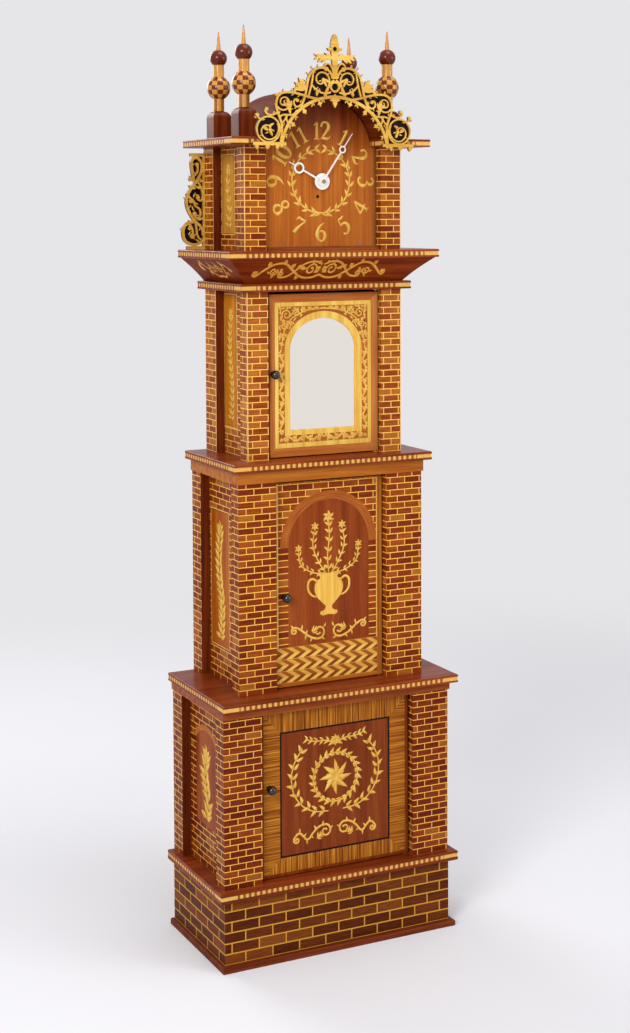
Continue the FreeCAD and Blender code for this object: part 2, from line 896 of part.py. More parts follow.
# Side fret: shares of its width, outwards from the pier, and of its height
fret_ribs_shares = [
    [(0.44, 0.72), (0.48, 0.78), (0.52, 0.86), (0.51, 0.92), (0.36, 0.955), (0.17, 0.92),
     (0.11, 0.845), (0.22, 0.76), (0.35, 0.695)],
    [(0.34, 0.71), (0.53, 0.64), (0.69, 0.565), (0.74, 0.48), (0.62, 0.38), (0.40, 0.295),
     (0.17, 0.235), (0.085, 0.155)],
    [(0.35, 0.285), (0.62, 0.28), (0.83, 0.24), (0.89, 0.17), (0.81, 0.095), (0.57, 0.055),
     (0.29, 0.055), (0.08, 0.10)],
]
fret_vines_shares = [
    [(0.32, 0.72), (0.18, 0.66), (0.09, 0.575), (0.15, 0.51), (0.28, 0.52)],
    [(0.72, 0.575), (0.59, 0.535), (0.46, 0.505), (0.39, 0.455), (0.24, 0.425), (0.18, 0.370),
     (0.28, 0.325), (0.42, 0.350)],
    [(0.41, 0.285), (0.35, 0.215), (0.31, 0.145), (0.19, 0.105)],
    [(0.62, 0.26), (0.51, 0.205), (0.51, 0.14)],
    [(0.30, 0.89), (0.28, 0.83), (0.33, 0.79), (0.42, 0.77)],
]
fret_curls_shares = [
    ((0.555, 0.73), 0.080),
    ((0.310, 0.885), 0.072),
    ((0.280, 0.54), 0.076),
    ((0.560, 0.505), 0.092),
    ((0.420, 0.370), 0.084),
    ((0.520, 0.14), 0.100),
    ((0.620, 0.22), 0.070),
]
fret_leaves_shares = [
    ((0.36, 0.63), (0.66, 0.665), 0.12),
    ((0.80, 0.225), (1.00, 0.205), 0.10),
    ((0.50, 0.27), (0.67, 0.305), 0.10),
    ((0.10, 0.63), (0.36, 0.655), 0.10),
    ((0.04, 0.70), (0.28, 0.735), 0.09),
    ((0.04, 0.33), (0.30, 0.305), 0.09),
]
fret_rail_share = 0.09
fret_ledge_share = 0.035
fret_top_ledge_share = 0.58
fret_bottom_ledge_share = 0.74
fret_rib_width = 7.0
fret_vine_width = 5.2


def side_fret():
    """Bracket of three scrolls beside the hood, in the plane of the back, on the right."""
    pier_side = hood.half

    def place(x_share, z_share):
        return V(pier_side + fret_width * x_share, 0, hood_bottom + fret_height * z_share)

    def bar(x_share, low_share, high_share):
        corner_shares = ((0, low_share), (x_share, low_share), (x_share, high_share), (0, high_share))
        corners = [place(*corner) for corner in corner_shares]
        return Part.Face(Part.makePolygon(corners + [corners[0]]))

    faces = [
        bar(fret_rail_share, 0, 1),
        bar(fret_top_ledge_share, 1 - fret_ledge_share, 1),
        bar(fret_bottom_ledge_share, 0, fret_ledge_share),
    ]
    for shares in fret_ribs_shares:
        faces += ribbon([place(*share) for share in shares], fret_rib_width, fret_rib_width)
    for shares in fret_vines_shares:
        faces += ribbon([place(*share) for share in shares], fret_vine_width, fret_vine_width)
    for centre, radius in fret_curls_shares:
        faces.append(disc(place(*centre), fret_width * radius))
    for base, tip, width in fret_leaves_shares:
        faces.append(leaf(place(*base), place(*tip), fret_width * width))
    return pierced_board(faces, fret_thickness, fret_backing_thickness)


# Finials

def pedestal(x, depth):
    """Square block with rounded shoulders."""
    half_width = pedestal_width / 2
    half_depth = pedestal_depth / 2
    top = hood_top_level + pedestal_height
    base = block(x - half_width, x + half_width, depth - half_depth, depth + half_depth, hood_top_level, top)
    shoulders = [edge for edge in base.Edges if edge.BoundBox.ZMin > top - pedestal_round]
    return base.makeFillet(pedestal_round, shoulders)


def finial(x, depth):
    """Turned finial: post, wide ball, post, small ball and spike."""
    level = hood_top_level + pedestal_height
    axis = V(x, front(depth), level)
    edges = []

    def point(radius, height):
        return axis + V(radius, 0, height)

    def straight(first, last):
        edges.append(Part.makeLine(first, last))

    lower_end = lower_post_height
    ball_end = lower_end + checker_ball_height
    upper_end = ball_end + upper_post_height
    top_end = upper_end + top_ball_height
    tip = top_end + spike_height
    straight(point(0, 0), point(post_radius, 0))
    straight(point(post_radius, 0), point(post_radius, lower_end))
    edges.append(Part.Arc(
        point(post_radius, lower_end),
        point(checker_ball_radius, (lower_end + ball_end) / 2),
        point(post_radius, ball_end),
    ).toShape())
    straight(point(post_radius, ball_end), point(post_radius, upper_end))
    edges.append(Part.Arc(
        point(post_radius, upper_end),
        point(top_ball_radius, (upper_end + top_end) / 2),
        point(spike_foot_radius, top_end),
    ).toShape())
    straight(point(spike_foot_radius, top_end), point(spike_tip_radius, tip))
    straight(point(spike_tip_radius, tip), point(0, tip))
    straight(point(0, tip), point(0, 0))
    outline = Part.Face(Part.Wire(edges))
    return outline.revolve(axis, V(0, 0, 1), 360)


# Doors

class Door:
    """A door between two front piers, hung on pivots at its right front corner."""

    def __init__(self, stage, thickness, knob_inset, knob_height):
        self.stage = stage
        self.half = stage.opening - door_side_gap
        self.front = stage.face_depth
        self.back = stage.face_depth - thickness
        self.bottom = stage.bottom + door_bottom_gap
        self.top = stage.top - door_top_gap
        self.knob_x = knob_inset - self.half
        self.knob_z = knob_height
        self.pivot_x = self.half - pivot_inset
        self.pivot_y = front(self.front - pivot_inset)

    def blank(self):
        """The door's board with the bores of its pivots and of the knob's spindle."""
        board = block(-self.half, self.half, self.back, self.front, self.bottom, self.top)
        bore = pivot_radius + running_clearance
        foot_end = self.foot_pin_top() + seat_gap
        head_end = self.head_pin_bottom() - seat_gap
        foot_bore = pin_z(self.pivot_x, self.pivot_y, bore, self.bottom - overrun, foot_end)
        head_bore = pin_z(self.pivot_x, self.pivot_y, bore, head_end, self.top + overrun)
        spindle = spindle_radius + running_clearance
        spindle_bore = pin_y(self.knob_x, self.knob_z, spindle, self.back - overrun, self.front + overrun)
        return board.cut(foot_bore).cut(head_bore).cut(spindle_bore)

    def foot_pin_top(self):
        return self.bottom + pivot_length

    def head_pin_bottom(self):
        return self.top - pivot_length

    def pivots(self):
        """Foot and head pivots: a small plate with a pin that stands in the door."""
        x0 = self.stage.opening - pivot_plate_width
        x1 = self.stage.opening
        depth0 = self.front - pivot_plate_depth
        foot_plate_top = self.stage.bottom + pivot_plate_thickness
        head_plate_bottom = self.stage.top - pivot_plate_thickness
        foot = block(x0, x1, depth0, self.front, self.stage.bottom, foot_plate_top)
        foot_pin = pin_z(self.pivot_x, self.pivot_y, pivot_radius, foot_plate_top, self.foot_pin_top())
        head = block(x0, x1, depth0, self.front, head_plate_bottom, self.stage.top)
        head_pin = pin_z(self.pivot_x, self.pivot_y, pivot_radius, self.head_pin_bottom(), head_plate_bottom)
        return [foot.fuse(foot_pin), head.fuse(head_pin)]

    def knob(self):
        """Turned knob, rosette, spindle and the catch that turns behind the door."""
        start = self.front + seat_gap
        neck_front = start + knob_rosette_thickness + knob_neck_length
        ball_depth = neck_front + knob_radius * knob_ball_share
        rosette = pin_y(self.knob_x, self.knob_z, knob_rosette_radius, start, start + knob_rosette_thickness)
        neck = pin_y(self.knob_x, self.knob_z, knob_neck_radius, start, ball_depth)
        ball = Part.makeSphere(knob_radius, V(self.knob_x, front(ball_depth), self.knob_z))
        catch_front = self.back - seat_gap
        spindle = pin_y(self.knob_x, self.knob_z, spindle_radius, catch_front - catch_thickness, start)
        half = catch_width / 2
        catch = block(self.knob_x - half, self.knob_x + half, catch_front - catch_thickness, catch_front,
                      self.knob_z - catch_length, self.knob_z + half)
        return ball.fuse([neck, rosette, spindle, catch]).removeSplitter()


lower_door = Door(lower, door_thickness, lower_knob_inset, lower_knob_height)
middle_door = Door(middle, door_thickness, middle_knob_inset, middle_knob_height)
upper_door = Door(upper, upper_frame_thickness, upper_knob_inset, upper_knob_height)
doors = [lower_door, middle_door, upper_door]


def lower_door_pieces():
    """Frame with a rebate at its back, and the stepped panel that lies in it."""
    half = lower_panel_half_width
    face = lower_door.front
    behind = lower_door.back - overrun
    panel_front = face - panel_recess
    panel_back = panel_front - panel_thickness
    step = panel_front - panel_lip / 2

    def layer(grow, depth0, depth1):
        low = lower_panel_bottom - grow
        return block(-half - grow, half + grow, depth0, depth1, low, lower_panel_top + grow)

    frame = lower_door.blank().cut(layer(0, behind, face + overrun)).cut(layer(panel_lip, behind, step))
    raised = layer(-seat_gap, panel_back, panel_front)
    tongue = layer(panel_lip - seat_gap, panel_back, step - seat_gap)
    return frame, raised.fuse(tongue).removeSplitter()


def arch_head(half, level, rise, y):
    """Half an oval, or of a circle, from the right springing over the crown to the left one."""
    centre = V(0, y, level)
    right = V(half, y, level)
    left = V(-half, y, level)
    crown = V(0, y, level + rise)
    if math.isclose(rise, half, rel_tol=equal_share):
        return Part.Arc(right, crown, left).toShape()
    if rise < half:
        return Part.Ellipse(right, crown, centre).toShape(0, math.pi)
    return Part.Ellipse(crown, left, centre).toShape(-math.pi / 2, math.pi / 2)


def arched_prism(half, bottom, spring, top, depth0, depth1, grow):
    """An arched shape, grown evenly all round, between two depths."""
    wide = half + grow
    rise = top - spring + grow
    foot = bottom - grow
    y = front(depth1)
    corners = [V(-wide, y, spring), V(-wide, y, foot), V(wide, y, foot), V(wide, y, spring)]
    outline = Part.Wire([*Part.makePolygon(corners).Edges, arch_head(wide, spring, rise, y)])
    return Part.Face(outline).extrude(V(0, depth1 - depth0, 0))


def middle_door_board():
    """Door board with a shallow arched niche let into its face."""
    face = middle_door.front
    niche = arched_prism(niche_half_width, niche_bottom, niche_spring, niche_spring + niche_half_width,
                         face - niche_recess, face + overrun, 0)
    return middle_door.blank().cut(niche)


def upper_door_pieces():
    """Frame with an arched sight opening, and the mirror held behind it in a rebate."""
    face = upper_door.front
    sight = arched_prism(mirror_half_width, mirror_bottom, mirror_spring, mirror_top,
                         upper_door.back - overrun, face + overrun, 0)
    rebate = arched_prism(mirror_half_width, mirror_bottom, mirror_spring, mirror_top,
                          upper_door.back - overrun, face - mirror_setback, mirror_lip)
    frame = upper_door.blank().cut(sight).cut(rebate)
    mirror_front = face - mirror_setback
    mirror = arched_prism(mirror_half_width, mirror_bottom, mirror_spring, mirror_top,
                          mirror_front - mirror_thickness, mirror_front, mirror_lip - seat_gap)
    return frame, mirror


# Train of wheels

def gear(x, z, teeth, module, depth0, depth1, phase, hole_radius):
    """A toothed wheel about Y. The phase is the angle, in degrees, of one tooth's middle."""
    pitch_radius = teeth * module / 2
    tip_radius = pitch_radius + module * tooth_tip_share
    root_radius = pitch_radius - module * tooth_root_share
    pitch_angle = 2 * math.pi / teeth
    flank = tuple(zip((root_radius, pitch_radius, tip_radius), tooth_half_shares))
    corners = [(radius, -share) for radius, share in flank] + [*reversed(flank)]
    points = []
    for tooth in range(teeth):
        middle = math.radians(phase) + tooth * pitch_angle
        for radius, share in corners:
            angle = middle + share * pitch_angle
            points.append(V(x + radius * math.cos(angle), front(depth1), z + radius * math.sin(angle)))
    wheel = Part.Face(Part.makePolygon(points + [points[0]])).extrude(V(0, depth1 - depth0, 0))
    if hole_radius > 0:
        wheel = wheel.cut(pin_y(x, z, hole_radius, depth0 - overrun, depth1 + overrun))
    return wheel


def crossings(wheel, x, z, teeth, module, depth0, depth1, hub_radius):
    """Four openings between a wheel's rim and its hub, which leave four spokes."""
    rim = teeth * module / 2 - module * rim_share
    ring = pin_y(x, z, rim, depth0 - overrun, depth1 + overrun)
    ring = ring.cut(pin_y(x, z, hub_radius, depth0 - overrun, depth1 + overrun))
    spoke = module * spoke_share
    level_bar = block(x - rim, x + rim, depth0 - overrun, depth1 + overrun, z - spoke, z + spoke)
    upright_bar = block(x - spoke, x + spoke, depth0 - overrun, depth1 + overrun, z - rim, z + rim)
    return wheel.cut(ring.cut(level_bar).cut(upright_bar))


def mesh_phase(x0, z0, x1, z1, teeth):
    """Tooth angle of a second gear whose gap faces a tooth of the first one."""
    back_angle = math.degrees(math.atan2(z0 - z1, x0 - x1))
    return back_angle + 180 / teeth


def toward(x0, z0, x1, z1):
    return math.degrees(math.atan2(z1 - z0, x1 - x0))


def centre_distance(teeth_one, teeth_two, module):
    return (teeth_one + teeth_two) * module / 2


centre_x = 0
centre_z = hand_centre_height
great_module = 2 * math.hypot(drum_offset, drum_drop) / (great_teeth + pinion_leaves)
third_reach = centre_distance(centre_teeth, pinion_leaves, train_module)
third_x = third_reach * math.cos(math.radians(third_arbor_angle))
third_z = centre_z + third_reach * math.sin(math.radians(third_arbor_angle))
escape_reach = centre_distance(third_teeth, pinion_leaves, upper_train_module)
escape_x = 0
escape_z = third_z + math.sqrt(escape_reach ** 2 - third_x ** 2)
motion_reach = centre_distance(cannon_teeth, motion_teeth, motion_module)
motion_x = motion_reach
motion_z = centre_z
hour_module = 2 * motion_reach / (cannon_teeth + hour_teeth)
pivot_level = escape_z + escape_radius * math.sqrt(2)
inside_back = back_plate_depth
inside_front = front_plate_depth - plate_thickness
plate_top = plate_bottom + plate_height
plate_outer_back = back_plate_depth - plate_thickness
great_back = inside_front - wheel_gap - wheel_thickness
great_front = great_back + wheel_thickness
centre_wheel_back = inside_back + 2 * wheel_gap
centre_wheel_front = centre_wheel_back + wheel_thickness
third_wheel_back = drum_back_depth + drum_length / 3
third_wheel_front = third_wheel_back + wheel_thickness
escape_wheel_back = inside_front - 5 * wheel_gap
escape_wheel_front = escape_wheel_back + escape_thickness


def around(low, high, length):
    """Depths of a pinion of one length that is centred on a wheel's thickness."""
    middle = (low + high) / 2
    return middle - length / 2, middle + length / 2


def movement_frame():
    """Front and back plates with pivot holes, four pillars, and posts for the motion wheel and the line."""
    bores = [
        (centre_x, centre_z, centre_arbor_radius),
        (third_x, third_z, arbor_radius),
        (escape_x, escape_z, arbor_radius),
        (0, pivot_level, arbor_radius),
        (drum_x, drum_z, winding_arbor_radius),
    ]
    plates = []
    for depth0, depth1 in ((inside_front, front_plate_depth), (plate_outer_back, inside_back)):
        plate = block(-plate_half_width, plate_half_width, depth0, depth1, plate_bottom, plate_top)
        for x, z, radius in bores:
            plate = plate.cut(pin_y(x, z, radius + running_clearance, depth0 - overrun, depth1 + overrun))
        plates.append(plate)
    motion_post = pin_y(motion_x, motion_z, arbor_radius, front_plate_depth, motion_front + seat_gap)
    plates[0] = plates[0].fuse(motion_post)
    side = plate_half_width - pillar_side_inset
    levels = (plate_bottom + pillar_end_inset, plate_top - pillar_end_inset)
    pillars = [pin_y(x, z, pillar_radius, inside_back, inside_front) for x in (-side, side) for z in levels]
    post_level = line_top + line_post_radius + seat_gap
    line_post = pin_y(fixed_strand_x, post_level, line_post_radius, inside_back, inside_front)
    return plates + pillars + [line_post]


motion_back = front_plate_depth + seat_gap
motion_wheel_front = motion_back + wheel_thickness
motion_front = motion_wheel_front + 2 * wheel_thickness
hour_wheel_back = motion_wheel_front + hour_wheel_gap
hour_wheel_front = hour_wheel_back + wheel_thickness


def great_wheel():
    phase = toward(drum_x, drum_z, centre_x, centre_z)
    hole = winding_arbor_radius + running_clearance
    wheel = gear(drum_x, drum_z, great_teeth, great_module, great_back, great_front, phase, hole)
    return crossings(wheel, drum_x, drum_z, great_teeth, great_module, great_back, great_front,
                     great_hub_radius)


def drum():
    """Winding drum on its arbor, with a flange at each end and a square for the key."""
    drum_front = drum_back_depth + drum_length
    square_front = dial_front - hand_thickness
    half = winding_arbor_radius * winding_square_share
    body = pin_y(drum_x, drum_z, drum_radius, drum_back_depth, drum_front)
    flanges = [
        pin_y(drum_x, drum_z, drum_flange_radius, low, low + drum_flange_thickness)
        for low in (drum_back_depth, drum_front - drum_flange_thickness)
    ]
    arbor = pin_y(drum_x, drum_z, winding_arbor_radius, plate_outer_back, dial_back)
    square = block(drum_x - half, drum_x + half, dial_back, square_front, drum_z - half, drum_z + half)
    return body.fuse([*flanges, arbor, square])


def centre_arbor():
    """Centre arbor with its pinion and wheel, and the cannon pinion in front of the plate."""
    low, high = around(great_back, great_front, pinion_thickness)
    high = min(high, inside_front - seat_gap)
    leaves_phase = mesh_phase(drum_x, drum_z, centre_x, centre_z, pinion_leaves)
    leaves = gear(centre_x, centre_z, pinion_leaves, great_module, low, high, leaves_phase, 0)
    phase = toward(centre_x, centre_z, third_x, third_z)
    span = (centre_wheel_back, centre_wheel_front)
    wheel = gear(centre_x, centre_z, centre_teeth, train_module, *span, phase, 0)
    wheel = crossings(wheel, centre_x, centre_z, centre_teeth, train_module, *span, centre_arbor_radius * 2)
    cannon = gear(centre_x, centre_z, cannon_teeth, motion_module, motion_back, motion_wheel_front,
                  toward(centre_x, centre_z, motion_x, motion_z), 0)
    shaft_front = minute_hand_depth + hand_thickness
    shaft = pin_y(centre_x, centre_z, centre_arbor_radius, plate_outer_back, shaft_front)
    return shaft.fuse([leaves, wheel, cannon])


def motion_wheel():
    """Wheel driven by the cannon pinion, with the pinion that drives the hour wheel."""
    hole = arbor_radius + running_clearance
    phase = mesh_phase(centre_x, centre_z, motion_x, motion_z, motion_teeth)
    span = (motion_back, motion_wheel_front)
    wheel = gear(motion_x, motion_z, motion_teeth, motion_module, *span, phase, hole)
    leaves = gear(motion_x, motion_z, cannon_teeth, hour_module, motion_wheel_front, motion_front,
                  toward(motion_x, motion_z, centre_x, centre_z), hole)
    return wheel.fuse(leaves)


def hour_wheel():
    """Hour wheel and its pipe, which carries the hour hand."""
    phase = mesh_phase(motion_x, motion_z, centre_x, centre_z, hour_teeth)
    wheel = gear(centre_x, centre_z, hour_teeth, hour_module, hour_wheel_back, hour_wheel_front, phase, 0)
    pipe = pin_y(centre_x, centre_z, hour_pipe_radius, hour_wheel_back, hour_hand_depth + hand_thickness)
    bore_radius = centre_arbor_radius + running_clearance
    bore = pin_y(centre_x, centre_z, bore_radius, hour_wheel_back - overrun, hour_hand_depth + overrun)
    return wheel.fuse(pipe).cut(bore)


def third_wheel():
    low, high = around(centre_wheel_back, centre_wheel_front, pinion_thickness)
    leaves = gear(third_x, third_z, pinion_leaves, train_module, low, high,
                  mesh_phase(centre_x, centre_z, third_x, third_z, pinion_leaves), 0)
    phase = toward(third_x, third_z, escape_x, escape_z)
    span = (third_wheel_back, third_wheel_front)
    wheel = gear(third_x, third_z, third_teeth, upper_train_module, *span, phase, 0)
    wheel = crossings(wheel, third_x, third_z, third_teeth, upper_train_module, *span, arbor_radius * 3)
    shaft = pin_y(third_x, third_z, arbor_radius, plate_outer_back, front_plate_depth)
    return shaft.fuse([leaves, wheel])


def escape_wheel():
    """Escape wheel with thirty raked teeth, and its pinion."""
    low, high = around(third_wheel_back, third_wheel_front, pinion_thickness)
    leaves = gear(escape_x, escape_z, pinion_leaves, upper_train_module, low, high,
                  mesh_phase(third_x, third_z, escape_x, escape_z, pinion_leaves), 0)
    points = []
    pitch_angle = 2 * math.pi / escape_teeth
    tooth_shares = ((0.80, 0.0), (1.0, 0.10), (1.0, 0.16), (0.80, 0.55))
    for tooth in range(escape_teeth):
        for radius_share, angle_share in tooth_shares:
            angle = (tooth + angle_share) * pitch_angle
            radius = escape_radius * radius_share
            points.append(V(escape_x + radius * math.cos(angle), front(escape_wheel_front),
                            escape_z + radius * math.sin(angle)))
    outline = Part.Face(Part.makePolygon(points + [points[0]]))
    wheel = outline.extrude(V(0, escape_wheel_front - escape_wheel_back, 0))
    shaft = pin_y(escape_x, escape_z, arbor_radius, plate_outer_back, front_plate_depth)
    return shaft.fuse([leaves, wheel])


def anchor():
    """Recoil anchor on its arbor, with the crutch behind the back plate."""
    pallet_reach = escape_radius + pallet_clearance
    diagonal = pallet_reach * math.sqrt(0.5)
    arm = wheel_thickness
    level = pivot_level
    low = escape_z + diagonal
    outline = [
        V(0, 0, level + arm), V(diagonal + arm, 0, low + arm), V(diagonal, 0, low),
        V(arm, 0, level - arm), V(-arm, 0, level - arm), V(-diagonal, 0, low),
        V(-diagonal - arm, 0, low + arm),
    ]
    face = Part.Face(Part.makePolygon(outline + [outline[0]]))
    plate = face.extrude(V(0, escape_wheel_front - escape_wheel_back, 0))
    plate.translate(V(0, front(escape_wheel_front), 0))
    shaft = pin_y(0, level, arbor_radius, crutch_depth - crutch_thickness, front_plate_depth)
    half = crutch_width / 2
    crutch_back = crutch_depth - crutch_thickness
    rod = block(-half, half, crutch_back, crutch_depth, level - crutch_length, level + half)
    inner = rod_radius + crutch_play
    outer = inner + crutch_prong
    prong_back = pendulum_depth - rod_radius
    foot = level - crutch_length
    bridge = block(-outer, outer, crutch_back, crutch_depth, foot, foot + crutch_width)
    prongs = pair(block(inner, outer, prong_back, crutch_back, foot, foot + crutch_width))
    return shaft.fuse([plate, rod, bridge, *prongs]).removeSplitter()


def hand(length, ring_place, ring_radius, ring_width, width, hub_radius, hole_radius, depth, angle):
    """A hand with an open ring near its tip, pointing up and then turned clockwise by the angle."""
    low = front(depth + hand_thickness)
    centre = V(0, low, centre_z)

    def plate(face):
        return face.extrude(V(0, hand_thickness, 0))

    def tapered(z0, z1, width0, width1):
        corners = [V(-width0 / 2, low, centre_z + z0), V(width0 / 2, low, centre_z + z0),
                   V(width1 / 2, low, centre_z + z1), V(-width1 / 2, low, centre_z + z1)]
        return plate(Part.Face(Part.makePolygon(corners + [corners[0]])))

    mid_width = (width + hand_tip_width) / 2
    shank = tapered(0, ring_place, width, mid_width)
    tip = tapered(ring_place, length, mid_width, hand_tip_width)
    ring_centre = V(0, low, centre_z + ring_place)
    ring_disc = Part.makeCylinder(ring_radius, hand_thickness, ring_centre, V(0, 1, 0))
    ring_hole = Part.makeCylinder(ring_radius - ring_width, hand_thickness, ring_centre, V(0, 1, 0))
    hub = Part.makeCylinder(hub_radius, hand_thickness, centre, V(0, 1, 0))
    hole = Part.makeCylinder(hole_radius, hand_thickness, centre, V(0, 1, 0))
    shape = shank.fuse([tip, ring_disc]).cut(ring_hole).fuse(hub).cut(hole).removeSplitter()
    shape.rotate(V(0, 0, centre_z), V(0, 1, 0), angle)
    return shape


def minute_hand():
    """Minute hand with a raised collar on the centre arbor."""
    hole = centre_arbor_radius + running_clearance / 2
    shape = hand(minute_hand_length, minute_hand_ring_place, minute_hand_ring_radius, minute_hand_ring_width,
                 minute_hand_width, minute_hub_radius, hole, minute_hand_depth, minute_hand_angle)
    start = minute_hand_depth + hand_thickness
    cap = pin_y(0, centre_z, minute_collar_radius, start, start + minute_collar_length)
    return shape.fuse(cap)


def hour_hand():
    hole = hour_pipe_radius + running_clearance / 2
    return hand(hour_hand_length, hour_hand_ring_place, hour_hand_ring_radius, hour_hand_ring_width,
                hour_hand_width, hour_hub_radius, hole, hour_hand_depth, hour_hand_angle)


def seatboard():
    """Board that the movement stands on, slotted for the line, and its two uprights."""
    board_bottom = plate_bottom - seatboard_thickness
    board = block(-seatboard_half_width, seatboard_half_width, seatboard_back_depth, seatboard_front_depth,
                  board_bottom, plate_bottom)
    reach = line_radius * 4
    slot = block(fixed_strand_x - reach, drum_strand_x + reach, line_depth - reach, line_depth + reach,
                 board_bottom - overrun, plate_bottom + overrun)
    outer = seatboard_half_width
    inner = outer - board_thickness
    span = (seatboard_back_depth, seatboard_front_depth)
    uprights = pair(block(inner, outer, *span, hood_bottom, board_bottom))
    return [board.cut(slot), *uprights]


# Pendulum

def pendulum_cock():
    """Bracket behind the back plate whose two cheeks hold the suspension pin."""
    top = pivot_level + suspension_eye
    half = cock_half_width / 2
    bore_radius = suspension_pin_radius + running_clearance
    low = pivot_level - half
    cock_top = top + cock_top_thickness
    shape = block(-cock_half_width, cock_half_width, cock_rear_depth, plate_outer_back, top, cock_top)
    for depth0 in (cock_rear_depth, cock_front_cheek):
        shape = shape.fuse(block(-half, half, depth0, depth0 + cheek_thickness, low, top))
    bore = pin_y(0, pivot_level, bore_radius, cock_rear_depth - overrun, cock_front_cheek + cheek_thickness)
    return shape.cut(bore).removeSplitter()


cock_front_cheek = crutch_depth - crutch_thickness - cheek_thickness - seat_gap * 2


def pendulum_rod():
    """Rod with its suspension eye and pin at the top and the rating nut at the bottom."""
    y = front(pendulum_depth)
    half = suspension_eye / 2
    eye_back = pendulum_depth - half
    eye_front = pendulum_depth + half
    eye = block(-half, half, eye_back, eye_front, pivot_level - half, pivot_level + half)
    pin_back = cock_rear_depth + seat_gap
    pin_front = cock_front_cheek + cheek_thickness - seat_gap
    pin = pin_y(0, pivot_level, suspension_pin_radius, pin_back, pin_front)
    bob_level = pivot_level - pendulum_length
    foot = bob_level - bob_radius - nut_height * 2
    rod = pin_z(0, y, rod_radius, foot, pivot_level)
    nut_top = bob_level - bob_radius - seat_gap
    nut = pin_z(0, y, nut_radius, nut_top - nut_height, nut_top)
    return rod.fuse([eye, pin, nut]).removeSplitter()


def pendulum_bob():
    """Lens-shaped bob, bored for the rod."""
    level = pivot_level - pendulum_length
    axis = V(0, front(pendulum_depth), level)
    half = bob_thickness / 2
    rim = bob_rim / 2

    def point(radius, out):
        return axis + V(radius, -out, 0)

    def domed(out, rim_out):
        bulge = rim_out + (out - rim_out) * bob_bulge_share
        return Part.Arc(point(0, out), point(bob_radius / 2, bulge), point(bob_radius, rim_out)).toShape()

    edges = [
        domed(half, rim),
        Part.makeLine(point(bob_radius, rim), point(bob_radius, -rim)),
        domed(-half, -rim),
        Part.makeLine(point(0, -half), point(0, half)),
    ]
    lens = Part.Face(Part.Wire(Part.sortEdges(edges)[0])).revolve(axis, V(0, 1, 0), 360)
    reach = bob_radius * 2
    bore = pin_z(0, axis.y, rod_radius + running_clearance / 2, level - reach, level + reach)
    return lens.cut(bore)


# Weight and line

line_depth = drum_back_depth + drum_length / 2
drum_strand_x = drum_x - drum_radius - line_radius - seat_gap
pulley_x = drum_strand_x - pulley_groove_radius - line_radius - seat_gap
fixed_strand_x = 2 * pulley_x - drum_strand_x
line_top = drum_z


def pulley():
    """Grooved pulley wheel that the line runs round."""
    half = pulley_thickness / 2
    groove_half = line_radius + seat_gap * 2

    def disc_about_line(radius, half_length):
        return pin_y(pulley_x, pulley_height, radius, line_depth - half_length, line_depth + half_length)

    rim = disc_about_line(pulley_rim_radius, half)
    band = disc_about_line(pulley_rim_radius + overrun, groove_half)
    core = disc_about_line(pulley_groove_radius, groove_half)
    bore = disc_about_line(spindle_radius + running_clearance, pulley_thickness)
    return rim.cut(band.cut(core)).cut(bore)


def weight():
    """Brass-cased weight with the yoke and pin that carry the pulley."""
    top = pulley_height - weight_drop
    y = front(line_depth)
    body = pin_z(pulley_x, y, weight_radius, top - weight_height, top)
    rims = [edge for edge in body.Edges if len(edge.Vertexes) == 1]
    body = body.makeFillet(line_radius * 3, rims)
    half = pulley_thickness / 2 + yoke_side_play
    outer = half + yoke_cheek
    side = yoke_width / 2
    bridge_top = pulley_height - pulley_rim_radius - seat_gap * 5
    bridge = block(pulley_x - side, pulley_x + side, line_depth - outer, line_depth + outer, top, bridge_top)
    cheeks = [
        block(pulley_x - side, pulley_x + side, low, low + yoke_cheek, bridge_top, pulley_height + side)
        for low in (line_depth - outer, line_depth + half)
    ]
    pin = pin_y(pulley_x, pulley_height, spindle_radius, line_depth - outer, line_depth + outer)
    return body.fuse([bridge, *cheeks, pin]).removeSplitter()


def line():
    """Line from the drum down round the pulley and up to its post between the plates."""
    y = front(line_depth)
    down = pin_z(drum_strand_x, y, line_radius, pulley_height, line_top)
    up = pin_z(fixed_strand_x, y, line_radius, pulley_height, line_top)
    loop_radius = (drum_strand_x - fixed_strand_x) / 2
    ring = Part.makeTorus(loop_radius, line_radius, V(pulley_x, y, pulley_height), V(0, 1, 0))
    reach = loop_radius + overrun
    span = (line_depth - overrun, line_depth + overrun)
    lower_half = block(pulley_x - reach, pulley_x + reach, *span, pulley_height - reach, pulley_height)
    return down.fuse([ring.common(lower_half), up]).removeSplitter()


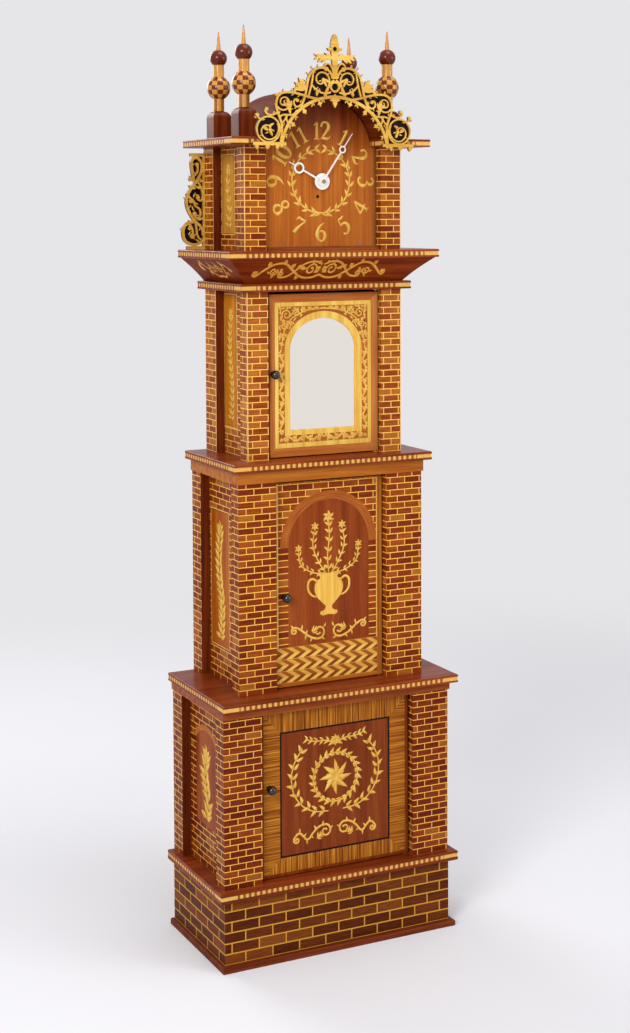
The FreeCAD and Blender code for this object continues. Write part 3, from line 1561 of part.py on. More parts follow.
def build():
    """Writes every node."""
    save("base_moulding", *base_moulding())
    save("plinth_boards", *plinth_boards())
    save("plinth_cap", edged_board(plinth_cap_width, plinth_cap_depth, plinth_top, plinth_cap_thickness))
    for stage in stages:
        stage.save()
    plinth_inner = plinth_width / 2 - plinth_board_thickness
    plinth_back = block(-plinth_inner, plinth_inner, 0, back_board_thickness, plinth_bottom, plinth_top)
    save("back_boards", plinth_back, *[stage.back() for stage in stages], vault_filler())
    save("lower_frieze", *frieze(lower, lower_top, lower_frieze_top))
    save("lower_cap", edged_board(lower_cap_width, lower_cap_depth, lower_frieze_top, lower_cap_thickness))
    save("middle_frieze", *frieze(middle, middle_top, middle_frieze_top))
    save("middle_cap", *welled_board(middle_cap_width, middle_cap_depth, middle_frieze_top,
                                     middle_cap_thickness))
    save("cornice_moulding", *welled_board(cornice_moulding_width, cornice_moulding_depth, upper_top,
                                           cornice_moulding_thickness))
    save("cornice_cove", *cove_boards())
    save("cornice_top", *welled_board(cornice_top_width, cornice_top_depth, cove_top, cornice_top_thickness))
    save("hood_top", *hood_top_boards())
    save("barrel_roof", barrel_roof())
    save("dial_board", dial_board())
    save("dial_battens", *dial_battens())
    save("dial_sill", dial_sill())
    crest_board = crest()
    right_fret = side_fret()
    frets = right_fret + [mirrored(solid) for solid in right_fret]
    save("crest", crest_board)
    save("side_frets", *frets)
    save("fret_backings", *[backing(board) for board in [crest_board] + frets])

    finial_places = {
        "front_left": (-front_finial_spread, front_finial_depth),
        "front_right": (front_finial_spread, front_finial_depth),
        "rear_left": (-rear_finial_spread, rear_finial_depth),
        "rear_right": (rear_finial_spread, rear_finial_depth),
    }
    save("finial_pedestals", *[pedestal(x, depth) for x, depth in finial_places.values()])
    for corner in ("front", "rear"):
        save(corner + "_finials", *[finial(*finial_places[corner + side]) for side in ("_left", "_right")])

    frame, panel = lower_door_pieces()
    save("lower_door_frame", frame)
    save("lower_door_panel", panel)
    save("middle_door", middle_door_board())
    upper_frame, mirror = upper_door_pieces()
    save("upper_door_frame", upper_frame)
    save("upper_door_mirror", mirror)
    for door in doors:
        save(door.stage.name + "_knob", door.knob())
    save("door_pivots", *[pivot for door in doors for pivot in door.pivots()])

    save("seatboard", *seatboard())
    save("movement_frame", *movement_frame(), pendulum_cock())
    save("great_wheel", great_wheel())
    save("drum", drum())
    save("centre_arbor", centre_arbor())
    save("third_wheel", third_wheel())
    save("escape_wheel", escape_wheel())
    save("anchor", anchor())
    save("motion_wheel", motion_wheel())
    save("hour_wheel", hour_wheel())
    save("hour_hand", hour_hand())
    save("minute_hand", minute_hand())
    save("pendulum_rod", pendulum_rod())
    save("pendulum_bob", pendulum_bob())
    save("pulley", pulley())
    save("weight", weight())
    save("weight_line", line())


build()
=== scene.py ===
"""Looks of the tall case clock: veneers, brick inlay, marquetry, metal, glass, light and camera."""

import math
from functools import partialmethod

import bmesh
import bpy
from mathutils import Matrix, Vector


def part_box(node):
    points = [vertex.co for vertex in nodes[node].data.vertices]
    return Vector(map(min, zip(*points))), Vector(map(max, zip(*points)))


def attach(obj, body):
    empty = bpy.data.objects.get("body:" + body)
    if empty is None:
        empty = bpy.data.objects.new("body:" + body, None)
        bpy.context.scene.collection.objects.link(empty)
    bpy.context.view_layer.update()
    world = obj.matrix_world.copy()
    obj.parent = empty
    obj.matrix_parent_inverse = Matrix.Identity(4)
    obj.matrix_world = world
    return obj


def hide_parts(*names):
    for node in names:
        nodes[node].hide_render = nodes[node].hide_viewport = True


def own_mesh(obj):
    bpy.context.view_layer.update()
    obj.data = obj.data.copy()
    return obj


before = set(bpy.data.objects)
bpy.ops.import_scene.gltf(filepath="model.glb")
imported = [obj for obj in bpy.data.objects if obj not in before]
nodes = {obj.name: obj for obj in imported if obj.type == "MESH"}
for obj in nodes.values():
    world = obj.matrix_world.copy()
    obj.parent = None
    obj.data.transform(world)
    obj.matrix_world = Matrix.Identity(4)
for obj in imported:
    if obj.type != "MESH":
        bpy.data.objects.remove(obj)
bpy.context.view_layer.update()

# Heights, face planes and half widths are in millimetres, in the frame of the case.
# Colours are red, green and blue as the eye reads them, 0 to 255.
MM = 0.001
INLAY_RISE = 0.2
JOINED_WITHIN = 0.002
X_AXIS, Y_AXIS, Z_AXIS = 0, 1, 2
# A face looks along an axis where its normal's share on it is over this
FACING = 0.5

BACK = 178.8
LOWER_PANEL_FACE = -126.6
MIDDLE_DOOR_FACE = -93.9
NICHE_FACE = -92.9
UPPER_DOOR_FACE = -68.6
DIAL_FACE = -58.2
HAND_CENTRE = 1918.0

BLACK = (0, 0, 0)
WHITE = (255, 255, 255)
PALE_LINE = (226, 178, 92)
# Painted highlight: the glint along the rounded pier corners
CORNER_HIGHLIGHT = (222, 164, 64)
DOOR_SHADOW = (44, 16, 8)
BRASS = (214, 170, 92)
STEEL = (176, 178, 182)
BACKDROP = (230, 229, 232)


def paint(red, green, blue):
    """A colour turned to the shader's scale."""
    def straight(value):
        share = value / 255
        return share / 12.92 if share <= 0.04045 else ((share + 0.055) / 1.055) ** 2.4
    return (straight(red), straight(green), straight(blue), 1.0)


def extent(node):
    """Low and high corner of a CAD node, in millimetres."""
    return [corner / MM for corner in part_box(node)]


# Finishes are written as arithmetic on the place in millimetres

class Tone:
    """A number that varies over a surface."""

    def __init__(self, finish, socket):
        self.finish = finish
        self.socket = socket

    def reckon(self, operation, *others):
        node = self.finish.add("ShaderNodeMath", dict(enumerate((self, *others))), operation=operation)
        return Tone(self.finish, node.outputs[0])

    __add__ = partialmethod(reckon, "ADD")
    __sub__ = partialmethod(reckon, "SUBTRACT")
    __mul__ = partialmethod(reckon, "MULTIPLY")
    __truediv__ = partialmethod(reckon, "DIVIDE")
    over = partialmethod(reckon, "GREATER_THAN")
    under = partialmethod(reckon, "LESS_THAN")
    most = partialmethod(reckon, "MAXIMUM")
    turn_from = partialmethod(reckon, "ARCTAN2")
    size = partialmethod(reckon, "ABSOLUTE")
    root = partialmethod(reckon, "SQRT")
    whole = partialmethod(reckon, "FLOOR")

    def between(self, low, high):
        return self.over(low) * self.under(high)

    def opposite(self):
        return (self * -1) + 1

    def reach(self, other):
        """Distance from a centre, from the distances along two axes."""
        return (self * self + other * other).root()

    def repeat(self, period):
        """Place inside each repeat, 0 to 1."""
        scaled = self / period
        return scaled - scaled.whole()


class Finish:
    """One material on Object coordinates."""

    def __init__(self, name, roughness=0.34, coat=0.02, metallic=0.0, gloss=0.07):
        self.material = bpy.data.materials.new(name)
        self.material.use_nodes = True
        self.tree = self.material.node_tree
        self.shader = self.tree.nodes["Principled BSDF"]
        for slot, value in (("Roughness", roughness), ("Coat Weight", coat), ("Coat Roughness", 0.12),
                            ("Specular IOR Level", gloss), ("Metallic", metallic)):
            self.shader.inputs[slot].default_value = value
        outputs = self.add("ShaderNodeTexCoord").outputs
        feeds = {0: outputs["Object"], "Scale": 1 / MM}
        self.place = self.add("ShaderNodeVectorMath", feeds, operation="SCALE").outputs[0]
        self.x, self.y, self.z = self.split(self.place)
        self.facing_x, self.facing_y, self.facing_z = self.split(outputs["Normal"])

    def add(self, kind, feeds=(), **settings):
        """A new node with its settings, and values or sockets for its inputs."""
        node = self.tree.nodes.new(kind)
        for setting, value in settings.items():
            setattr(node, setting, value)
        for slot, value in dict(feeds).items():
            self.feed(node.inputs[slot], value)
        return node

    def feed(self, slot, value):
        """Links a tone or socket, or sets a number, a list or a colour, which is a tuple."""
        if isinstance(value, Tone):
            value = value.socket
        if isinstance(value, bpy.types.NodeSocket):
            self.tree.links.new(value, slot)
        else:
            slot.default_value = paint(*value) if isinstance(value, tuple) else value

    def split(self, vector):
        node = self.add("ShaderNodeSeparateXYZ", {0: vector})
        return [Tone(self, output) for output in node.outputs]

    def join(self, x, y, z):
        return self.add("ShaderNodeCombineXYZ", {0: x, 1: y, 2: z}).outputs[0]

    def on_front(self):
        """1 on faces that look forward."""
        return self.facing_y.under(-FACING)

    def on_side(self):
        """1 on faces that look left or right."""
        return self.facing_x.size().over(FACING)

    def across(self):
        """Distance along a wall: X on the front and back, Y on the sides."""
        side = self.on_side()
        return self.x * side.opposite() + self.y * side

    def blend(self, mask, first, second):
        return self.add("ShaderNodeMix", {0: mask, 6: first, 7: second}, data_type="RGBA").outputs[2]

    def layers(self, colour, *layers):
        """Colours laid one over another, each where its mask is 1."""
        for mask, other in layers:
            colour = self.blend(mask, colour, other)
        return colour

    def shades(self, tone, stops, colours):
        node = self.add("ShaderNodeValToRGB", {0: tone})
        elements = node.color_ramp.elements
        while len(elements) < len(stops):
            elements.new(0.5)
        for element, position, colour in zip(elements, stops, colours):
            element.position = position
            element.color = paint(*colour)
        return node.outputs[0]

    def eased(self, tone, low, high):
        """0 below low, 1 above high and smooth between."""
        feeds = {"Value": tone, "From Min": low, "From Max": high}
        return Tone(self, self.add("ShaderNodeMapRange", feeds, interpolation_type="SMOOTHSTEP").outputs[0])

    def cloud(self, spacing, detail=3.0, vector=None):
        """Soft noise whose spacing along X, Y and Z is in millimetres."""
        scale = [1 / length for length in spacing]
        mapping = self.add("ShaderNodeMapping", {"Vector": vector or self.place, "Scale": scale})
        feeds = {"Vector": mapping.outputs[0], "Scale": 1.0, "Detail": detail}
        return Tone(self, self.add("ShaderNodeTexNoise", feeds).outputs[0])

    def grain(self, along, length, width, detail=3.0, vector=None):
        spacing = [width] * 3
        spacing[along] = length
        return self.cloud(spacing, detail, vector)

    def colour(self, value):
        self.feed(self.shader.inputs["Base Color"], value)
        return self

    def rough(self, tone):
        self.feed(self.shader.inputs["Roughness"], tone)
        return self

    def relief(self, height, depth):
        bump = self.add("ShaderNodeBump", {"Strength": 1.0, "Distance": depth * MM, "Height": height})
        self.feed(self.shader.inputs["Normal"], bump.outputs[0])
        return self


# Dark, middle and light tones of each wood
MAHOGANY = ((112, 44, 12), (142, 64, 20), (166, 86, 32))
DARK_MAHOGANY = ((70, 24, 8), (98, 38, 13), (124, 56, 22))
GOLD_MAHOGANY = ((150, 76, 18), (174, 98, 28), (192, 118, 42))
RED_MAHOGANY = ((98, 36, 9), (119, 50, 15), (138, 66, 24))
GOLDEN_WOOD = ((168, 104, 28), (188, 126, 40), (204, 146, 56))
PALE_WOOD = ((204, 150, 60), (224, 180, 80), (236, 200, 106))
FIGURE_STOPS = (0.36, 0.5, 0.64)
MATT = {"roughness": 0.5, "coat": 0.0}


def figured(finish, along, tones, figure_width=16.0):
    """Colour and pores of figured veneer: broad figure, streaks and fine pores that run one way."""
    figure = finish.grain(along, figure_width * 18, figure_width)
    streak = finish.grain(along, 110, 2.6)
    pores = finish.grain(along, 18, 0.7, detail=1.0)
    tone = figure * 0.55 + streak * 0.3 + pores * 0.15
    return finish.shades(tone, FIGURE_STOPS, tones), pores


def plain_veneer(name, along, tones, roughness=0.3, coat=0.04, figure_width=16.0, gloss=0.07):
    """A finish with its grain along one axis."""
    finish = Finish(name, roughness, coat, gloss=gloss)
    colour, pores = figured(finish, along, tones, figure_width)
    return finish.colour(colour).relief(pores, 0.05)


# Three brick tones, an odd brick's tone and the joint's, from the foot of the clock to its top
BRICK_TONES = {
    "plinth": ((72, 26, 4), (96, 42, 10), (122, 62, 18), (142, 82, 26), (198, 142, 52)),
    "lower": ((92, 24, 4), (114, 38, 8), (138, 60, 16), (168, 104, 38), (228, 174, 72)),
    "middle": ((106, 32, 6), (130, 50, 10), (156, 76, 22), (186, 120, 42), (238, 186, 80)),
    "upper": ((130, 50, 12), (152, 74, 26), (178, 104, 38), (200, 136, 52), (242, 196, 92)),
    "hood": ((112, 34, 3), (140, 58, 12), (168, 90, 28), (196, 128, 44), (242, 192, 84)),
}
BRICK_STOPS = (0.3, 0.5, 0.68)
ODD_BRICKS_FROM = 0.93
COURSE, PITCH, JOINT = 16.0, 42.4, 2.3
PLINTH_COURSE, PLINTH_PITCH, PLINTH_JOINT = 26.2, 73.0, 3.6

# Height of one joint line, X of one upright joint on the left, extra shift on the right
BRICK_LINES = {
    "lower": (595.6, -319.5, 7.0),
    "middle": (1169.5, -256.6, 3.0),
    "upper": (1632.0, -201.8, 15.0),
    "hood": (1983.0, -201.8, 4.0),
}


class Bricks:
    """Running-bond brick veneers with pale joints, laid along a wall."""

    def __init__(self, finish, across, up, tones, course=COURSE, pitch=PITCH, joint=JOINT):
        brick = finish.add("ShaderNodeTexBrick", {
            "Vector": finish.join(across, up, 0), "Scale": 1.0, "Mortar Size": joint / 2,
            "Mortar Smooth": 0.15, "Bias": 0.0, "Brick Width": pitch, "Row Height": course,
            "Color1": BLACK, "Color2": WHITE, "Mortar": BLACK,
        }, offset=0.5)
        joints = Tone(finish, brick.outputs["Fac"])
        chance = Tone(finish, brick.outputs["Color"])
        grain_place = finish.join(across, chance * 300, up)
        streak = finish.grain(X_AXIS, 30, 1.6, detail=4.0, vector=grain_place)
        *woods, odd, line = tones
        wood = finish.shades(chance * 0.35 + streak * 0.65, BRICK_STOPS, woods)
        odd_wood = finish.blend(streak, woods[1], odd)
        self.colour = finish.layers(wood, (chance.over(ODD_BRICKS_FROM), odd_wood), (joints, line))
        self.height = streak * 0.3 + joints * 0.7


def stage_bricks(finish, stage):
    """The bricks of one storey, on its front and sides."""
    line, joint_x, right_shift = BRICK_LINES[stage]
    across = finish.across() - joint_x + finish.x.over(0) * right_shift
    return Bricks(finish, across, finish.z - line, BRICK_TONES[stage])


# Width of the painted highlight up the pier corners
HIGHLIGHT_WIDTH = 2.0


def pier_finish(stage, part):
    """Piers: bricks, painted highlights up outer front corners above, painted shade on returns behind the
    recess.
    """
    low, high = extent(stage + part)
    finish = Finish(stage + part + "_bricks")
    bricks = stage_bricks(finish, stage)
    colour = bricks.colour
    if stage in ("upper", "hood"):
        # The pale strip up the outer front corners of the upper storeys is a painted highlight, the glint on
        # rounded corners
        corner = finish.x.size().over(high.x - HIGHLIGHT_WIDTH) * finish.y.under(low.y + HIGHLIGHT_WIDTH)
        painted_highlight = finish.blend(finish.cloud((4, 4, 30)), CORNER_HIGHLIGHT, (240, 204, 140))
        colour = finish.blend(corner, colour, painted_highlight)
    if part == "_rear_piers":
        # The rear piers' forward faces are painted dark mahogany as painted shade, for the shadow in the
        # recess
        painted_shade_return, _ = figured(finish, Z_AXIS, DARK_MAHOGANY)
        colour = finish.blend(finish.on_front(), colour, painted_shade_return)
    return finish.colour(colour).relief(bricks.height, 0.08)


# Depth from the back of each side picture's rear and front edge, its foot and its top
SIDE_PICTURES = {
    "lower": (96.0, 220.0, 303.0, 515.0),
    "middle": (65.0, 171.0, 747.0, 1089.0),
    "upper": (70.0, 142.0, 1302.0, 1633.0),
    "hood": (70.0, 143.0, 1789.0, 1984.0),
}
PICTURE_GROUNDS = {
    "lower": MAHOGANY,
    "middle": ((142, 62, 6), (164, 80, 10), (184, 102, 20)),
    "upper": ((166, 90, 12), (190, 112, 20), (208, 134, 34)),
    "hood": GOLDEN_WOOD,
}
ARCH_RISE = 29.0
ARCH_BAND = 14.0
ARCH_STRING = 1.6
PALE_STRING, DARK_STRING = 4.0, 1.4


def side_panel_finish(stage):
    """Recessed side panels: bricks round an upright veneer, arched below and with two strings above."""
    rear, front, foot, head = SIDE_PICTURES[stage]
    finish = Finish(stage + "_side_marquetry")
    z = finish.z
    bricks = stage_bricks(finish, stage)
    ground, pores = figured(finish, Z_AXIS, PICTURE_GROUNDS[stage])
    half = (front - rear) / 2
    off = (finish.y - (BACK - rear - half)).size()
    if stage == "lower":
        radius = (half ** 2 + ARCH_RISE ** 2) / (2 * ARCH_RISE)
        reach = off.reach(z - (head + ARCH_RISE - radius))
        above = z.over(head)
        inside = (off.under(half) * z.between(foot, head + 1)).most(reach.under(radius) * above)
        band = reach.under(radius + ARCH_BAND) * above * off.under(half + ARCH_BAND)
        band_wood, _ = figured(finish, Y_AXIS, GOLD_MAHOGANY)
        string = off.between(half, half + ARCH_STRING) * z.between(foot, head)
        around = ((band, band_wood), (string, (60, 24, 14)))
    else:
        tall = (head - foot) / 2
        level = (z - (foot + tall)).size()
        pale, dark, inside = [off.under(half + edge) * level.under(tall + edge)
                              for edge in (PALE_STRING, DARK_STRING, 0)]
        around = ((pale, PALE_LINE), (dark, (88, 40, 24)))
    colour = finish.layers(bricks.colour, *around, (inside, ground))
    return finish.colour(colour).relief(bricks.height * inside.opposite() + pores * inside * 0.3, 0.08)


CAP_TONES = ((92, 32, 10), (122, 48, 18), (150, 70, 28))
NOSING = 5.5
BAND = 10.0
BLOCK_PITCH = 14.8
LIGHT_BLOCK_SHARE = 0.52
PLAIN_END = 42.0


def banded_board_finish(node):
    """A board with polished top and edges and a band of light and dark blocks round it."""
    low, high = extent(node)
    finish = Finish(node + "_veneer", roughness=0.28, coat=0.04)
    wood, pores = figured(finish, X_AXIS, CAP_TONES, figure_width=22.0)
    top = high.z - NOSING
    band = finish.z.between(top - BAND, top) * finish.facing_z.size().over(FACING).opposite()
    block = finish.across().repeat(BLOCK_PITCH).under(LIGHT_BLOCK_SHARE)
    side = finish.on_side()
    plain_front = finish.x.size().over(high.x - PLAIN_END) * side.opposite()
    plain_side = finish.y.under(low.y + PLAIN_END) * side
    light = block.most(plain_front).most(plain_side)
    fleck = finish.cloud((3, 3, 9))
    pale = finish.blend(fleck, (198, 136, 50), (238, 196, 108))
    brown = finish.blend(fleck, (118, 54, 18), (168, 98, 42))
    return finish.colour(finish.blend(band, wood, finish.blend(light, brown, pale))).relief(pores, 0.04)


def bricks_of_plinth():
    """Large dark bricks of the plinth."""
    finish = Finish("plinth_bricks", roughness=0.45, coat=0.0)
    bricks = Bricks(finish, finish.across() + 4, finish.z - 14.5, BRICK_TONES["plinth"],
                    PLINTH_COURSE, PLINTH_PITCH, PLINTH_JOINT)
    return finish.colour(bricks.colour).relief(bricks.height, 0.1)


def middle_door_finish():
    """Bricks over an arched niche, a herringbone band at the foot and plain borders."""
    finish = Finish("middle_door_marquetry")
    x, z = finish.x, finish.z
    off = x.size()
    half_niche, arch_radius, spring, brick_top = 113.0, 135.0, 1012.0, 1169.0
    band_foot, band_top, band_rows = 672.8, 761.6, 3
    left_edge, right_edge, shadow_half, shadow_foot = -146.5, 137.0, 150.8, 1173.8
    bricks = Bricks(finish, x + 128.0, z - brick_top, BRICK_TONES["middle"], COURSE + 0.4)
    lines = Bricks(finish, x + 2000, z - 996.7, BRICK_TONES["middle"], COURSE + 0.2, pitch=5000.0)

    rise = z - spring
    reach = off.reach(rise)
    fan = finish.join(x.turn_from(rise) * 120, reach, 0)
    arch_wood = finish.shades(finish.grain(X_AXIS, 60, 2.2, vector=fan), (0.34, 0.52, 0.7),
                              ((140, 68, 22), (162, 86, 32), (184, 108, 44)))

    in_band = z.between(band_foot, band_top)
    row = (z - band_foot).repeat((band_top - band_foot) / band_rows)
    from_middle = (row - 0.5).size()
    stripe = (x + from_middle * 50.0).repeat(32.0).under(0.5)
    upper_half = row.over(0.5)
    pale = finish.blend(upper_half, (236, 190, 92), (218, 162, 66))
    brown = finish.blend(upper_half, (122, 54, 16), (148, 76, 26))
    fleck = finish.cloud((12, 12, 2))
    chevron = finish.layers(finish.blend(stripe, brown, pale), (fleck * 0.25, (176, 110, 42)),
                            (from_middle.over(0.475), (206, 150, 66)))

    border, _ = figured(finish, Z_AXIS, GOLD_MAHOGANY)
    foot_wood, _ = figured(finish, X_AXIS, GOLD_MAHOGANY)
    ground_tones = ((112, 43, 11), (134, 59, 20), (154, 75, 29))
    ground, pores = figured(finish, Z_AXIS, ground_tones, figure_width=30.0)
    pale_lines = x.between(-144.5, -140.5).most(x.between(134.5, right_edge)) * z.over(band_top)
    in_niche = finish.y.over(MIDDLE_DOOR_FACE + 0.4) * off.under(half_niche + 1)
    front = finish.on_front()
    colour = finish.layers(
        bricks.colour,
        (z.under(spring + 14) * off.under(146), lines.colour),
        (reach.under(arch_radius) * z.over(spring), arch_wood),
        (in_band, chevron),
        (pale_lines, PALE_LINE),
        (x.over(right_edge).most(x.under(left_edge)).most(z.over(brick_top + 3)), border),
        (x.between(141.4, 142.4), (96, 44, 18)),
        (off.over(shadow_half).most(z.over(shadow_foot)), DOOR_SHADOW),
        (z.under(band_foot), foot_wood),
        (in_niche * front, ground),
        (front.opposite(), border),
    )
    return finish.colour(colour).relief(bricks.height * in_niche.opposite() + pores * 0.2, 0.06)


def zebra_frame_finish():
    """Streaked veneer laid across each rail and stile, mitred at the corners, in plain strips."""
    finish = Finish("lower_door_zebrawood", roughness=0.3)
    z, off = finish.z, finish.x.size()
    middle, half_opening, half_height = 403.0, 150.0, 154.0
    strip_half, strip_top, shadow_half, shadow_foot = 198.5, 207.5, 207.6, 609.6
    on_rail = ((z - middle).size() * (half_opening / half_height)).over(off)
    rail, stile = [finish.grain(along, 160, 3.2, detail=4.0) for along in (Z_AXIS, X_AXIS)]
    streak = rail * on_rail + stile * on_rail.opposite()
    zebra = finish.shades(streak, (0.34, 0.46, 0.58, 0.7),
                          ((104, 50, 10), (146, 80, 16), (176, 108, 28), (204, 140, 46)))
    strip, pores = figured(finish, Z_AXIS, RED_MAHOGANY)
    colour = finish.layers(
        zebra,
        (off.over(strip_half).most(z.under(strip_top)).most(finish.on_front().opposite()), strip),
        (off.over(shadow_half).most(z.over(shadow_foot)), DOOR_SHADOW),
        (off.under(154.2) * z.between(244.8, 561.2), (24, 15, 12)),
    )
    return finish.colour(colour).relief(streak * 0.5 + pores * 0.5, 0.04)


def upper_door_finish():
    """Mahogany moulding with mitres, a pale panel and a dark field for the scrolls."""
    finish = Finish("upper_door_marquetry", roughness=0.28)
    x, z = finish.x, finish.z
    off = x.size()
    middle, taller, spring, oval_half, oval_rise = 1438.0, 48.0, 1500.0, 108.0, 95.0
    rail_wood, pores = figured(finish, X_AXIS, ((148, 74, 28), (174, 98, 40), (192, 120, 56)))
    stile_wood, _ = figured(finish, Z_AXIS, ((152, 78, 32), (180, 106, 50), (196, 126, 64)))
    moulding = finish.blend(((z - middle).size() - taller).over(off), stile_wood, rail_wood)
    pale, _ = figured(finish, Z_AXIS, PALE_WOOD)
    field_wood, _ = figured(finish, X_AXIS, ((146, 74, 30), (166, 92, 38), (182, 108, 50)))
    in_panel = z.between(1257, 1619)
    panel_half, field_half = 136.0, 125.0
    oval = (x / oval_half).reach((z - spring) / oval_rise).under(1) * z.over(spring - 1)
    inner = (off.under(oval_half) * z.between(1287.5, spring)).most(oval)
    field = off.under(field_half) * z.between(1268.5, 1609) * inner.opposite() * finish.on_front()
    colour = finish.layers(
        moulding,
        (off.under(panel_half) * in_panel, pale),
        (off.between(panel_half - 1.4, panel_half) * in_panel, (150, 96, 44)),
        (field, field_wood),
        (x.under(-149.5).most(x.over(154.2)).most(z.over(1639.4)), DOOR_SHADOW),
    )
    return finish.colour(colour).relief(pores, 0.04)


# Heights where a finial's chequered ball, neck, dark ball and spike begin
BALL_FOOT, NECK_FOOT, TOP_BALL_FOOT, SPIKE_FOOT = 2130.0, 2186.0, 2216.0, 2253.0
BALL_SQUARES, BALL_ROW, POST_STAVES = 12, 11.2, 10


def turned_finish(node, spread):
    """Turned posts of staves, a chequered ball, a dark ball and a pale spike."""
    low, high = extent(node)
    finish = Finish(node + "_turning", roughness=0.16, coat=0.35)
    z = finish.z
    deep = finish.y - (low.y + high.y) / 2
    angle = (finish.x.size() - spread).turn_from(deep) / (2 * math.pi)
    square = (angle * BALL_SQUARES).whole() + ((z - BALL_FOOT) / BALL_ROW).whole()
    stave = (angle * POST_STAVES).whole()
    odd_square, odd_stave = [count.repeat(2.0).over(0.25) for count in (square, stave)]
    fleck = finish.cloud((3, 3, 14))
    pale = finish.blend(fleck, (176, 110, 36), (218, 162, 76))
    brown = finish.blend(fleck, (84, 28, 8), (130, 56, 20))
    dark = finish.blend(fleck, (70, 20, 6), (112, 42, 16))
    spike = finish.blend(fleck, (176, 108, 50), (214, 156, 86))
    colour = finish.layers(
        finish.blend(odd_stave * 0.6, pale, brown),
        (z.over(BALL_FOOT), finish.blend(odd_square, brown, pale)),
        (z.over(NECK_FOOT), pale),
        (z.over(TOP_BALL_FOOT), dark),
        (z.over(SPIKE_FOOT), spike),
    )
    return finish.colour(colour).relief(fleck, 0.06)


def fret_finish(name):
    """Fretsawn pale wood, browner on the sawn edges."""
    finish = Finish(name, roughness=0.36)
    wood, pores = figured(finish, X_AXIS, ((186, 134, 54), (208, 160, 70), (226, 184, 92)))
    edge = finish.blend(finish.cloud((2, 2, 2)), (112, 66, 26), (158, 104, 46))
    sawn = finish.facing_y.size().under(FACING)
    return finish.colour(finish.blend(sawn, wood, edge)).relief(pores, 0.05)


def metal_finish(name, colour, roughness):
    """Metal with fine brush marks and slight tarnish."""
    finish = Finish(name, roughness, coat=0.0, metallic=1.0, gloss=0.5)
    marks = finish.cloud((6, 0.5, 6), detail=2.0)
    dull = [share * 0.72 for share in paint(*colour)[:3]] + [1.0]
    finish.colour(finish.blend(finish.cloud((26, 26, 26)), dull, colour))
    return finish.rough(marks * 0.14 + (roughness - 0.07)).relief(marks, 0.02)


def coated_finish(name, low_colour, high_colour, roughness, coat):
    """Lacquer or enamel: two close colours in soft patches."""
    finish = Finish(name, roughness, coat, gloss=0.5)
    finish.colour(finish.blend(finish.cloud((9, 9, 9)), low_colour, high_colour))
    return finish.relief(finish.cloud((1.2, 1.2, 1.2)), 0.015)


def mirror_finish():
    """Silvered glass, a little warm, with faint spots and a grey painted back."""
    finish = Finish("silvered_glass", coat=0.0, gloss=0.5)
    spots = finish.cloud((14, 14, 14)).over(0.74)
    glass = finish.blend(spots * 0.12, (254, 248, 238), (170, 166, 160))
    paint_back = finish.blend(finish.cloud((20, 20, 20)), (84, 78, 72), (104, 96, 88))
    front = finish.on_front()
    finish.colour(finish.blend(front, paint_back, glass))
    finish.feed(finish.shader.inputs["Metallic"], front)
    return finish.rough(finish.cloud((30, 30, 30)) * 0.03 + front.opposite() * 0.5 + 0.02)


def line_finish():
    """Twisted gut: a fine slanting lay along the line."""
    finish = Finish("gut_line", roughness=0.55, coat=0.0)
    lay = (finish.z + finish.x * 1.5 + finish.y).repeat(2.2)
    return finish.colour(finish.blend(lay, (150, 124, 84), (206, 182, 138))).relief(lay, 0.2)


def drum_finish():
    """Brass barrel on a dark blued steel arbor with a winding square."""
    finish = metal_finish("brass_drum", BRASS, 0.28)
    arbor = (finish.x + 9.0).reach(finish.z - 1880.5).under(6.0)
    brass = finish.shader.inputs["Base Color"].links[0].from_socket
    return finish.colour(finish.blend(arbor, brass, (26, 22, 22)))


BOARD_EDGE, BOARD_WIDTH = 96.0, 64.0


def dial_finish():
    """Upright boards of warm mahogany, darker towards the top of the arch."""
    finish = Finish("dial_mahogany", roughness=0.32)
    board = ((finish.x + BOARD_EDGE) / BOARD_WIDTH).whole()
    shifted = finish.join(finish.x, board * 37.0, finish.z)
    figure = finish.grain(Z_AXIS, 320, 12, vector=shifted)
    streak = finish.grain(Z_AXIS, 120, 2.4, vector=shifted)
    pores = finish.grain(Z_AXIS, 16, 0.7)
    tone = figure * 0.5 + streak * 0.35 + pores * 0.15
    low = finish.shades(tone, FIGURE_STOPS, ((150, 72, 18), (172, 92, 28), (190, 112, 38)))
    high = finish.shades(tone, FIGURE_STOPS, ((104, 38, 12), (124, 52, 18), (146, 68, 26)))
    seam = (finish.x + BOARD_EDGE).repeat(BOARD_WIDTH).under(0.012)
    colour = finish.layers(low, (finish.eased(finish.z, 1960.0, 2090.0), high), (seam * 0.6, (100, 44, 14)))
    return finish.colour(colour).relief(pores, 0.05)


def dress(finish, *names):
    """Gives CAD nodes one finish."""
    for name in names:
        mesh = nodes[name].data
        mesh.materials.clear()
        mesh.materials.append(finish.material)


for stage in SIDE_PICTURES:
    for part in ("_front_piers", "_rear_piers"):
        dress(pier_finish(stage, part), stage + part)
    dress(side_panel_finish(stage), stage + "_side_panels")
for board in ("plinth_cap", "lower_cap", "middle_cap", "cornice_moulding", "cornice_top", "hood_top"):
    dress(banded_board_finish(board), board)
dress(bricks_of_plinth(), "plinth_boards")
dress(plain_veneer("base_mahogany", X_AXIS, DARK_MAHOGANY, **MATT), "base_moulding")
dress(plain_veneer("lower_frieze_mahogany", X_AXIS, MAHOGANY), "lower_frieze")
dress(plain_veneer("middle_frieze_mahogany", X_AXIS, GOLD_MAHOGANY), "middle_frieze")
dress(plain_veneer("cove_mahogany", X_AXIS, ((90, 27, 5), (116, 42, 11), (138, 60, 20)), 0.42, 0.0,
                   gloss=0.02), "cornice_cove")
dress(plain_veneer("vault_mahogany", Y_AXIS, DARK_MAHOGANY, gloss=0.03, **MATT), "barrel_roof")
